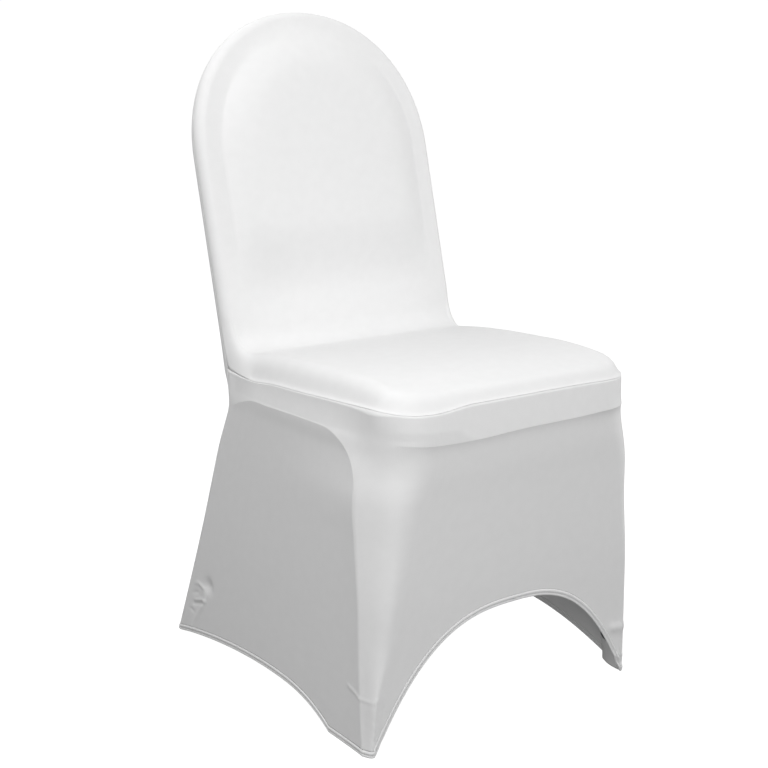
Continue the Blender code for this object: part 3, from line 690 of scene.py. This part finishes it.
def back_seam(side, depth):
    """The seam round the back, from just above the seat to the top of the arch."""
    ups = np.linspace(VALLEY_END, ARCH_START, BACK_ROWS + 1)[:-1]
    points = [back_point(side * BACK_HALF_WIDTH, ups, depth)]
    angles = np.linspace(0, ARCH_SPLIT_DEG, ARCH_SIDE_ROWS + 1)
    angles = np.concatenate([angles, np.linspace(ARCH_SPLIT_DEG, 90, len(across_shares()))[1:]])
    outline = back_outline(angles, 0.0)
    points.append(back_point(side * outline[:, 0], outline[:, 1], depth))
    return np.concatenate(points)


def inside_seam(side):
    """The inside panel's seam from the middle of the seat's front round to the top of the back."""
    half = FACE_CORNER_STEPS
    ys = np.linspace(SEAT_FRONT_Y + SEAT_CORNER, SEAT_TOP[-1][0], SEAT_ROWS + 1)[1:]
    edge_y = SIDE_SEAM[-1][0]
    side_steps = (edge_y - ys) / (edge_y - SEAT_FRONT_Y - SEAT_CORNER)
    last = side_steps[-1] * (1 - np.linspace(0, 1, VALLEY_ROWS // 2 + 1)[1:])
    stretches = (
        ("front", FRONT_STEPS[::-1]),
        ("corner", np.linspace(1, 0, 2 * half + 1)[1:]),
        ("side", np.concatenate([side_steps, last])),
    )
    points = []
    for zone, steps in stretches:
        place = wall(zone, steps, side, seat_seam_z(zone, steps, side))
        place[..., 2] += SEAM_GAP / 2
        points.append(place)
    back = back_seam(side, BACK_THICKNESS / 2 - SEAM_GAP / 2)
    points.append(straight(points[-1][-1], back[0], VALLEY_ROWS // 2 + 1)[1:-1])
    return np.concatenate(points + [back])


def boundary(face, with_bottom):
    """A half face's edge, from the middle of its bottom round its side to the middle of its top."""
    start = face[0] if with_bottom else face[0, -1:]
    return np.concatenate([start, face[1:, -1], face[-1, :-1][::-1]])


def mirrored(face):
    """Rows across both halves, from a right half that starts at the middle."""
    left = face[:, :0:-1].copy()
    left[..., [0, 3]] *= -1
    return np.concatenate([left, face], axis=1)


def unit(vectors):
    """Vectors at length one."""
    return vectors / np.maximum(np.linalg.norm(vectors, axis=-1, keepdims=True), SMALLEST_LENGTH)


def edge_roll(face, seam, lean, rim):
    """Rows of points from a panel's face round its edge to its seam, then turned in at the seam.

    lean gives the way in from each face point as an angle below level, and rim how much of the
    seat's sewn rim its edge has.
    """
    inwards = np.stack([np.zeros_like(lean), np.cos(lean), -np.sin(lean)], axis=-1)
    up = np.stack([np.zeros_like(lean), np.sin(lean), np.cos(lean)], axis=-1)
    start = face[:, :3]
    drop = np.sum((seam - start) * inwards, axis=-1, keepdims=True)
    out = seam - start - drop * inwards
    rows = []
    length = np.zeros((len(face), 1))
    before = start
    heading = np.stack([unit(out)[:, 0], np.sum(unit(out) * up, axis=-1)], axis=-1)
    for t in np.linspace(0, 1, EDGE_STEPS + 1):
        round_out, round_down = math.sin(t * math.pi / 2), 1 - math.cos(t * math.pi / 2)
        rim_down = table_curve(SEAT_EDGE, EDGE_COLUMNS, "down", round_out)
        down = round_down + (rim_down - round_down) * rim[:, None]
        place = start + out * round_out + inwards * drop * down
        length = length + np.linalg.norm(place - before, axis=-1, keepdims=True)
        before = place
        rows.append(np.concatenate([place, face[:, 3:] + heading * length], axis=-1))
    turn_in = unit(inwards * SEAM_TURN_SLOPE - unit(out))
    for share in SEAM_TURN_STEPS:
        place = seam + turn_in * SEAM_TURN * share
        cloth = face[:, 3:] + heading * (length + SEAM_TURN * share)
        rows.append(np.concatenate([place, cloth], axis=-1))
    return np.array(rows)


def taut_saddle(rows, first, last):
    """Rolled edges between two columns, drawn again as cloth that is taut between its four borders."""
    block = rows[: EDGE_STEPS + 1, first : last + 1, :3]
    for _ in range(SADDLE_ROUNDS):
        beside = block[1:-1, :-2] + block[1:-1, 2:]
        block[1:-1, 1:-1] = (block[:-2, 1:-1] + block[2:, 1:-1] + beside) / 4


def add_grid(mesh, rows):
    """A grid of faces, each of its points moved to its place and told its place on the flat cloth."""
    layer = mesh.verts.layers.float_vector.get("cloth") or mesh.verts.layers.float_vector.new("cloth")
    across = len(rows[0]) - 1
    along = len(rows) - 1
    grid = bmesh.ops.create_grid(mesh, x_segments=across, y_segments=along, size=1.0)
    for vertex in grid["verts"]:
        i = round((vertex.co.x + 1) / 2 * across)
        j = round((vertex.co.y + 1) / 2 * along)
        place = rows[j][i]
        vertex.co = place[:3]
        vertex[layer] = (place[3], place[4], 0.0)


def add_piece(name, mesh, outside=None):
    """An object from a bmesh, its doubles merged and its faces turned outwards."""
    bmesh.ops.remove_doubles(mesh, verts=mesh.verts, dist=MERGE_DISTANCE)
    bmesh.ops.recalc_face_normals(mesh, faces=mesh.faces)
    if outside is not None:
        mesh.normal_update()
        facing = sum(float(np.dot(face.normal, outside)) * face.calc_area() for face in mesh.faces)
        if facing < 0:
            bmesh.ops.reverse_faces(mesh, faces=mesh.faces)
    data = bpy.data.meshes.new(name)
    mesh.to_mesh(data)
    mesh.free()
    data.shade_smooth()
    piece = bpy.data.objects.new(name, data)
    bpy.context.scene.collection.objects.link(piece)
    return piece


def add_thickness(piece):
    """The cloth's thickness, inwards from the sheet."""
    solidify = piece.modifiers.new("cloth", "SOLIDIFY")
    solidify.thickness = CLOTH
    solidify.offset = -1.0
    solidify.use_even_offset = True


def make_inside_panel():
    """Front of the back and top of the seat, in one cut."""
    mesh = bmesh.new()
    half = inside_face()
    add_grid(mesh, mirrored(half))
    valley_end = len(FRONT_STEPS) + 2 * FACE_CORNER_STEPS + SEAT_ROWS + VALLEY_ROWS - 1
    valley_start = valley_end - VALLEY_ROWS
    for side in (-1, 1):
        face = boundary(half, with_bottom=True)
        face[:, [0, 3]] *= side
        on_back = np.arange(len(face)) > (valley_start + valley_end) / 2
        lean = np.where(on_back, BACK_LEAN, math.pi / 2)
        rows = edge_roll(face, inside_seam(side), lean, np.where(on_back, 0.0, 1.0))
        taut_saddle(rows, valley_start - SADDLE_ROWS, valley_end + SADDLE_ROWS)
        add_grid(mesh, rows)
    piece = add_piece("inside_panel_cloth", mesh, outside=(0, -1, 1))
    add_thickness(piece)
    return piece


def wall_heights(top, ridge, bottom):
    """Rows of heights down the wall, from its top edge past the ridge to its lower edge."""
    nearing = 1 - (1 - np.linspace(0, 1, BAND_ROWS + 1)[:-1, None]) ** RIDGE_ROW_POWER
    leaving = np.linspace(0, 1, UPPER_ROWS + 1)[:-1, None] ** RIDGE_ROW_POWER
    band = top + (ridge - top) * nearing
    upper = ridge + (UPPER_END - ridge) * leaving
    knots = [0.0, 1 - FOOT_ROWS_SHARE, 1.0]
    steps = np.interp(np.linspace(0, 1, LOWER_ROWS + 1), knots, [0.0, 1 - FOOT_HEIGHT_SHARE, 1.0])[:, None]
    return np.concatenate([band, upper, UPPER_END + (bottom - UPPER_END) * steps])


def make_rear_panel():
    """Outside of the back, down to the arch between the rear feet."""
    mesh = bmesh.new()
    shares = across_shares()
    arch = arch_patch(BACK_EDGE_ROUND)[::-1]
    rows = [with_cloth(back_point(arch[..., 0], arch[..., 1], BACK_THICKNESS), arch[..., 1])]
    ups = np.linspace(ARCH_START, VALLEY_END, BACK_ROWS + 1)[:, None]
    xs = shares * (BACK_HALF_WIDTH - BACK_EDGE_ROUND)
    rows.append(with_cloth(back_point(xs, ups, BACK_THICKNESS), ups))
    lift = BINDING_HEIGHT + BINDING_CLOTH_GAP
    bottom = hem_z("rear", 1 - shares, 1, lift)
    heights = wall_heights(JUNCTION_Z, ridge_z("rear", shares, 1), bottom)
    points = wall("rear", 1 - shares, 1, heights)
    waist = rows[-1][-1]
    gap = waist[0, 4] - float(np.linalg.norm(points[0, 0] - waist[0, :3]))
    wall_rows = with_cloth(points, gap + points[..., 2] - JUNCTION_Z)
    steps = np.linspace(0, 1, WAIST_ROWS + 1)[1:-1, None, None]
    rows.append(waist * (1 - steps) + wall_rows[0] * steps)
    rows.append(wall_rows)
    half = np.concatenate(rows)
    add_grid(mesh, mirrored(half))
    for side in (-1, 1):
        face = boundary(half[::-1], with_bottom=False)
        face[:, [0, 3]] *= side
        edge = wall("side", 0.0, side, heights[::-1, -1])
        edge[:, 1] += SEAM_GAP / 2
        back = back_seam(side, BACK_THICKNESS / 2 + SEAM_GAP / 2)
        waist_seam = straight(edge[-1], back[0], WAIST_ROWS + 1)[1:-1]
        seam = np.concatenate([edge, waist_seam, back])
        lean = BACK_LEAN * smooth((face[:, 2] - JUNCTION_Z) / (BACK_FOOT_Z - JUNCTION_Z))
        strips = edge_roll(face, seam, lean + math.pi, np.zeros(len(face)))
        add_grid(mesh, strips)
    piece = add_piece("rear_panel_cloth", mesh, outside=(0, 1, 0))
    add_thickness(piece)
    return piece


def half_skirt(side):
    """Rows of the skirt's points from its rear seam to the middle of the front."""
    lift = BINDING_HEIGHT + BINDING_CLOTH_GAP
    blocks = []
    for zone, steps in (("side", SIDE_STEPS), ("corner", CORNER_STEPS[1:]), ("front", FRONT_STEPS[1:])):
        top = seat_seam_z(zone, steps, side) - SEAM_GAP / 2
        heights = wall_heights(top, ridge_z(zone, steps, side), hem_z(zone, steps, side, lift))
        blocks.append(wall(zone, steps, side, heights))
    points = np.concatenate(blocks, axis=1)
    spans = np.linalg.norm(np.diff(points, axis=1), axis=-1).mean(axis=0)
    around = np.concatenate([[0.0], np.cumsum(spans)])
    around = np.broadcast_to(side * (around[-1] - around), points.shape[:2])
    return np.concatenate([points, around[..., None], points[..., 2:3]], axis=-1)


def make_skirt():
    """Sides and front in one cut, from one rear leg to the other."""
    mesh = bmesh.new()
    left = half_skirt(-1)
    right = half_skirt(1)[:, ::-1][:, 1:]
    rows = np.concatenate([left, right], axis=1)
    rows[:, [0, -1], 1] -= SEAM_GAP / 2
    turned = []
    middle_y = (BACK_FOOT_Y + SEAT_FRONT_Y) / 2
    inward = unit(np.array([0.0, middle_y, 0.0]) - rows[0][:, :3] * (1, 1, 0))
    for share in SEAM_TURN_STEPS[::-1]:
        row = rows[0].copy()
        row[:, :3] += inward * SEAM_TURN * share
        row[:, 2] -= SEAM_TURN * share * SEAM_TURN_SLOPE
        row[:, 4] += SEAM_TURN * share
        turned.append(row)
    add_grid(mesh, np.concatenate([np.array(turned), rows]))
    piece = add_piece("skirt_cloth", mesh, outside=(0, -1, 0))
    add_thickness(piece)
    return piece


def hem_loop():
    """Stretches of the wall's columns all the way round, from the middle of the front to the right."""
    right = [
        ("front", FRONT_STEPS[::-1]),
        ("corner", CORNER_STEPS[::-1][1:]),
        ("side", SIDE_STEPS[::-1][1:]),
        ("rear corner", np.linspace(0, 1, REAR_CORNER_STEPS)[1:]),
        ("rear", 1 - across_shares()[::-1][1:]),
    ]
    left = [(zone, steps[::-1]) for zone, steps in reversed(right)]
    return [(zone, steps, 1) for zone, steps in right] + [(zone, steps, -1) for zone, steps in left]


def loop_points(up):
    """Points round the lower edge at a share of the binding's height."""
    rings = []
    for zone, steps, side in hem_loop():
        low = hem_z(zone, steps, side)
        high = hem_z(zone, steps, side, BINDING_HEIGHT)
        rings.append(wall(zone, steps, side, low + up * (high - low)))
    return np.concatenate(rings)


def make_hem_binding():
    """One closed loop of elastic along the whole lower edge, with its ridge and groove."""
    mesh = bmesh.new()
    profile = BINDING_PROFILE + tuple((up, -out) for up, out in reversed(BINDING_PROFILE))
    base = loop_points(0.0)
    keep = np.linalg.norm(base - np.roll(base, 1, axis=0), axis=-1) > MERGE_DISTANCE
    upwards = loop_points(1.0)[keep] - base[keep]
    spans = np.linalg.norm(np.diff(base[keep], axis=0), axis=-1)
    around = np.concatenate([[0.0], np.cumsum(spans)])[:, None]
    lines = []
    for up, out in profile:
        centre = loop_points(up)[keep]
        along = np.roll(centre, -1, axis=0) - np.roll(centre, 1, axis=0)
        outward = unit(np.cross(along, upwards))
        place = centre - outward * CLOTH / 2 + outward * out * BINDING_HALF_THICKNESS
        place[:, 2] = np.maximum(place[:, 2], 0.0)
        lines.append(np.concatenate([place, around, np.full_like(around, up * BINDING_HEIGHT)], axis=-1))
    lines.append(lines[0])
    rows = np.array(lines)
    add_grid(mesh, np.concatenate([rows, rows[:, :1]], axis=1))
    return add_piece("hem_binding_elastic", mesh)


def pocket_section(end, share, size, side):
    """Plan outline of a front or rear pouch of the right half, at a share of its height."""
    level = POCKET_FLOOR + share * size["height"]
    row = {name: float(wall_value(name, level)) for name in WALL_COLUMNS[1:]}
    side_floor = size["floor_y"]
    side_y = side_floor + (size["top_y"] - side_floor) * share
    if end == "front":
        arch = FRONT_ARCH
        inwards = 1
        face_y = row["front_y"] + POCKET_INSET
        corner_x = row["side_x"] - POCKET_INSET
    else:
        arch = REAR_ARCH
        inwards = -1
        face_y = row["rear_y"] - POCKET_INSET
        corner_x = row["edge_x"] - POCKET_INSET
    corner_y = row["front_y"] + row["round_y"]
    arch_x = arch["reach"] * (1 - min(level / arch["height"], 1.0)) ** (1 / arch["power"])
    start = np.array([arch_x + POCKET_ARCH_GAP, face_y])
    step = min(max((side_y - row["edge_y"]) / (corner_y - row["edge_y"]), 0.0), 1.0)
    side_end = np.array([wall("side", step, 1, level)[0] - POCKET_INSET, side_y])
    points = [start]
    for bend in np.linspace(0, math.pi / 2, POCKET_TURN_STEPS):
        x = corner_x - size["turn"] * (1 - math.sin(bend))
        y = face_y + inwards * size["turn"] * (1 - math.cos(bend))
        points.append(np.array([max(x, start[0] + POCKET_MIN_EDGE), y]))
    points.append(side_end)
    chord = start - side_end
    outwards = np.array([-abs(chord[1]), inwards * abs(chord[0])]) * POCKET_BULGE
    for along in np.linspace(0, 1, POCKET_BULGE_STEPS + 1)[1:-1]:
        points.append(side_end + along * chord + outwards * 4 * along * (1 - along))
    rise = float(side_arch_height(side_floor, SIDE_ARCHES[side], 0.0)) * (1 - share) * (1 - size["sag"])
    section = []
    for x, y in points:
        tilt = min(max((y - face_y) / (side_floor - face_y), 0.0), 1.0)
        section.append((side * x, y, level + rise * tilt))
    return np.array(section)


def make_pocket(name, end, size, side):
    """A pouch with an open top and a closed bottom, fitted into one foot."""
    mesh = bmesh.new()
    layer = mesh.verts.layers.float_vector.new("cloth")
    outer = []
    inner = []
    for share in np.linspace(0, 1, POCKET_ROWS):
        section = pocket_section(end, share, size, side)
        middle = section.mean(axis=0)
        spans = np.ptp(section, axis=0)
        shrink = np.array([1 - 2 * POCKET_CLOTH / spans[0], 1 - 2 * POCKET_CLOTH / spans[1], 1.0])
        rise = np.array([0.0, 0.0, POCKET_CLOTH if share == 0.0 else 0.0])
        outer.append(section)
        inner.append(middle + (section - middle) * shrink + rise)
    rings = []
    for section in outer + inner[::-1]:
        spans = np.linalg.norm(np.diff(section, axis=0), axis=-1)
        around = np.concatenate([[0.0], np.cumsum(spans)])
        ring = []
        for place, distance in zip(section, around):
            vertex = mesh.verts.new(place)
            vertex[layer] = (distance, place[2], 0.0)
            ring.append(vertex)
        edges = [mesh.edges.new((ring[i - 1], ring[i])) for i in range(len(ring))]
        rings.append(edges)
    for lower, upper in zip(rings, rings[1:]):
        bmesh.ops.bridge_loops(mesh, edges=lower + upper)
    bmesh.ops.edgeloop_fill(mesh, edges=rings[0])
    bmesh.ops.edgeloop_fill(mesh, edges=rings[-1])
    return add_piece(name, mesh)


def linear(hex_colour):
    """Linear RGBA of an sRGB hex colour."""
    channels = [int(hex_colour[i : i + 2], 16) / 255 for i in (1, 3, 5)]
    return tuple(c / 12.92 if c <= 0.04045 else ((c + 0.055) / 1.055) ** 2.4 for c in channels) + (1.0,)


def add_node(tree, kind, settings=(), links=()):
    """A node with its settings, and its links: (this node's socket, the other node, its socket)."""
    node = tree.nodes.new(kind)
    for name, value in dict(settings).items():
        if name in node.inputs:
            node.inputs[name].default_value = value
        else:
            setattr(node, name, value)
    for socket, other, other_socket in links:
        tree.links.new(other.outputs[other_socket], node.inputs[socket])
    return node


def thread_waves(tree, cloth, axis, pitch_mm):
    """Rounded threads side by side across one direction of the cloth."""
    scale = math.pi / 10 / (pitch_mm / 1000)
    settings = {"wave_type": "BANDS", "bands_direction": axis, "Scale": scale, "Distortion": 0.0}
    return add_node(tree, "ShaderNodeTexWave", settings, [("Vector", cloth, "Vector")])


def multiplied(tree, first, socket, second):
    """Product of a texture's value and a second one's."""
    links = [(0, first, socket), (1, second, "Fac")]
    return add_node(tree, "ShaderNodeMath", {"operation": "MULTIPLY"}, links)


def bumped(tree, height, socket, strength, distance, below=None):
    """Fine relief of one texture, over another's where it is given."""
    links = [("Height", height, socket)]
    if below:
        links.append(("Normal", below, "Normal"))
    return add_node(tree, "ShaderNodeBump", {"Strength": strength, "Distance": distance}, links)


def cloth_shader(name, colour, roughness, sheen):
    """A material with its shader and the cloth's own coordinates."""
    material = bpy.data.materials.new(name)
    material.use_nodes = True
    tree = material.node_tree
    shader = tree.nodes["Principled BSDF"]
    shader.inputs["Base Color"].default_value = linear(colour)
    shader.inputs["Roughness"].default_value = roughness
    shader.inputs["Specular IOR Level"].default_value = 0.25
    shader.inputs["Sheen Weight"].default_value = sheen
    shader.inputs["Sheen Roughness"].default_value = 0.45
    cloth = add_node(tree, "ShaderNodeAttribute", {"attribute_name": "cloth"})
    return material, tree, shader, cloth


def warp_knit():
    """White polyester and elastane warp knit: fine wales and courses, slightly uneven as it is stretched.

    Its loops are drawn a little coarser than the real ones, so that they don't shimmer from a step away.
    """
    material, tree, shader, cloth = cloth_shader("white_warp_knit", WHITE, roughness=0.80, sheen=0.08)
    wales = thread_waves(tree, cloth, "X", WALE_PITCH_MM)
    courses = thread_waves(tree, cloth, "Y", COURSE_PITCH_MM)
    loops = multiplied(tree, wales, "Fac", courses)
    links = [("Vector", cloth, "Vector")]
    settings = {"Scale": 1000 / TENSION_PATCH_MM, "Detail": 2.0, "Roughness": 0.5}
    pull = add_node(tree, "ShaderNodeTexNoise", settings, links)
    tension = bumped(tree, pull, "Fac", strength=0.03, distance=0.004)
    fine = bumped(tree, loops, "Value", strength=0.10, distance=0.0004, below=tension)
    tree.links.new(fine.outputs["Normal"], shader.inputs["Normal"])
    settings = {"Scale": 1000 / DENSITY_PATCH_MM, "Detail": 3.0}
    cover = add_node(tree, "ShaderNodeTexNoise", settings, links)
    settings = {"From Min": 0.3, "From Max": 0.7, "To Min": 0.0, "To Max": 1.0}
    density = add_node(tree, "ShaderNodeMapRange", settings, [("Value", cover, "Fac")])
    tint = add_node(tree, "ShaderNodeMix", {"data_type": "RGBA"}, [("Factor", density, "Result")])
    tint.inputs[MIX_FIRST_COLOUR].default_value = linear(WHITE)
    tint.inputs[MIX_SECOND_COLOUR].default_value = linear(WHITE_THIN)
    tree.links.new(tint.outputs[MIX_RESULT_COLOUR], shader.inputs["Base Color"])
    return material


def elastic_tape():
    """White elastic tape: fine ribs across it, and a line of stitches in its groove."""
    material, tree, shader, cloth = cloth_shader("white_elastic_tape", WHITE, roughness=0.72, sheen=0.05)
    ribs = thread_waves(tree, cloth, "X", RIB_PITCH_MM)
    stitches = thread_waves(tree, cloth, "X", STITCH_PITCH_MM)
    split = add_node(tree, "ShaderNodeSeparateXYZ", {}, [("Vector", cloth, "Vector")])
    offset = add_node(tree, "ShaderNodeMath", {"operation": "SUBTRACT"}, [(0, split, "Y")])
    offset.inputs[1].default_value = BINDING_HEIGHT * STITCH_HEIGHT_SHARE
    across = add_node(tree, "ShaderNodeMath", {"operation": "ABSOLUTE"}, [(0, offset, "Value")])
    settings = {"From Min": 0.0, "From Max": STITCH_HALF_WIDTH_MM / 1000, "To Min": 1.0, "To Max": 0.0}
    band = add_node(tree, "ShaderNodeMapRange", settings, [("Value", across, "Value")])
    thread = multiplied(tree, band, "Result", stitches)
    first = bumped(tree, ribs, "Fac", strength=0.25, distance=0.0003)
    both = bumped(tree, thread, "Value", strength=0.6, distance=0.0006, below=first)
    tree.links.new(both.outputs["Normal"], shader.inputs["Normal"])
    return material


def add_light(name, place, aim, size, power):
    """A soft rectangular studio light."""
    light = bpy.data.lights.new(name, "AREA")
    light.shape = "RECTANGLE"
    light.size, light.size_y = size
    light.energy = power
    lamp = bpy.data.objects.new(name, light)
    direction = np.subtract(aim, place)
    lamp.rotation_euler = (
        math.atan2(math.hypot(direction[0], direction[1]), -direction[2]),
        0.0,
        math.atan2(direction[1], direction[0]) - math.pi / 2,
    )
    lamp.location = place
    bpy.context.scene.collection.objects.link(lamp)


def add_camera(scene):
    """The camera, at the photo's place."""
    data = bpy.data.cameras.new("camera")
    data.lens = CAMERA_LENS_MM
    data.sensor_width = CAMERA_SENSOR_MM
    camera = bpy.data.objects.new("camera", data)
    camera.location = CAMERA_PLACE
    camera.rotation_euler = (math.radians(90 - CAMERA_DOWN_DEG), 0.0, math.radians(CAMERA_TURN_DEG))
    scene.collection.objects.link(camera)
    scene.camera = camera


def studio_paper():
    """Matt white studio paper, lit so evenly that it shows as plain white."""
    paper = bpy.data.materials.new("white_studio_paper")
    paper.use_nodes = True
    shader = paper.node_tree.nodes["Principled BSDF"]
    shader.inputs["Base Color"].default_value = linear(FLOOR_COLOUR)
    shader.inputs["Roughness"].default_value = 0.95
    shader.inputs["Emission Color"].default_value = linear("#FFFFFF")
    shader.inputs["Emission Strength"].default_value = FLOOR_GLOW
    return paper


def add_floor():
    """A round floor whose rim rises in a cove, hidden from the rays that would light the cloth from below."""
    mesh = bmesh.new()
    bmesh.ops.create_circle(mesh, cap_ends=True, segments=COVE_SEGMENTS, radius=COVE_START)
    bmesh.ops.translate(mesh, verts=mesh.verts, vec=(0.0, 0.0, -FLOOR_DROP))
    rim = [edge for edge in mesh.edges if edge.is_boundary]
    for step in range(COVE_STEPS):
        new = bmesh.ops.extrude_edge_only(mesh, edges=rim)["geom"]
        rim = [item for item in new if isinstance(item, bmesh.types.BMEdge)]
        angle = math.pi / 2 * (step + 1) / COVE_STEPS
        reach = COVE_START + COVE_ROUND * math.sin(angle)
        for vertex in {vertex for edge in rim for vertex in edge.verts}:
            share = reach / math.hypot(vertex.co.x, vertex.co.y)
            vertex.co = (vertex.co.x * share, vertex.co.y * share, COVE_ROUND * (1 - math.cos(angle)))
    floor = add_piece("floor", mesh)
    floor.data.materials.append(studio_paper())
    floor.visible_diffuse = False
    floor.visible_glossy = False


def studio():
    """Camera, pale floor and soft light from all round."""
    scene = bpy.context.scene
    add_camera(scene)
    scene.view_settings.view_transform = "Standard"
    add_floor()
    world = bpy.data.worlds.new("studio")
    world.use_nodes = True
    background = world.node_tree.nodes["Background"]
    background.inputs["Color"].default_value = linear("#FFFFFF")
    background.inputs["Strength"].default_value = WORLD_GLOW
    scene.world = world
    for name, place, aim, size, power in LIGHTS:
        add_light(name, place, aim, size, power)


def main():
    """Every piece, with its material and its body."""
    knit = warp_knit()
    tape = elastic_tape()
    inside = make_inside_panel()
    rear = make_rear_panel()
    skirt = make_skirt()
    binding = make_hem_binding()
    pieces = [(inside, "inside_panel"), (rear, "rear_panel"), (skirt, "skirt"), (binding, "hem_binding")]
    for side, word in ((-1, "left"), (1, "right")):
        for end in ("front", "rear"):
            node = f"foot_pocket_{end}_{word}"
            size = dict(zip(POCKET_COLUMNS, POCKETS[end, side]))
            pocket = make_pocket(node + "_cloth", end, size, side)
            pieces.append((pocket, node))
    for piece, node in pieces:
        piece.data.materials.append(tape if piece is binding else knit)
        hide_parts(node)
        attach(piece, "root")
    studio()


main()
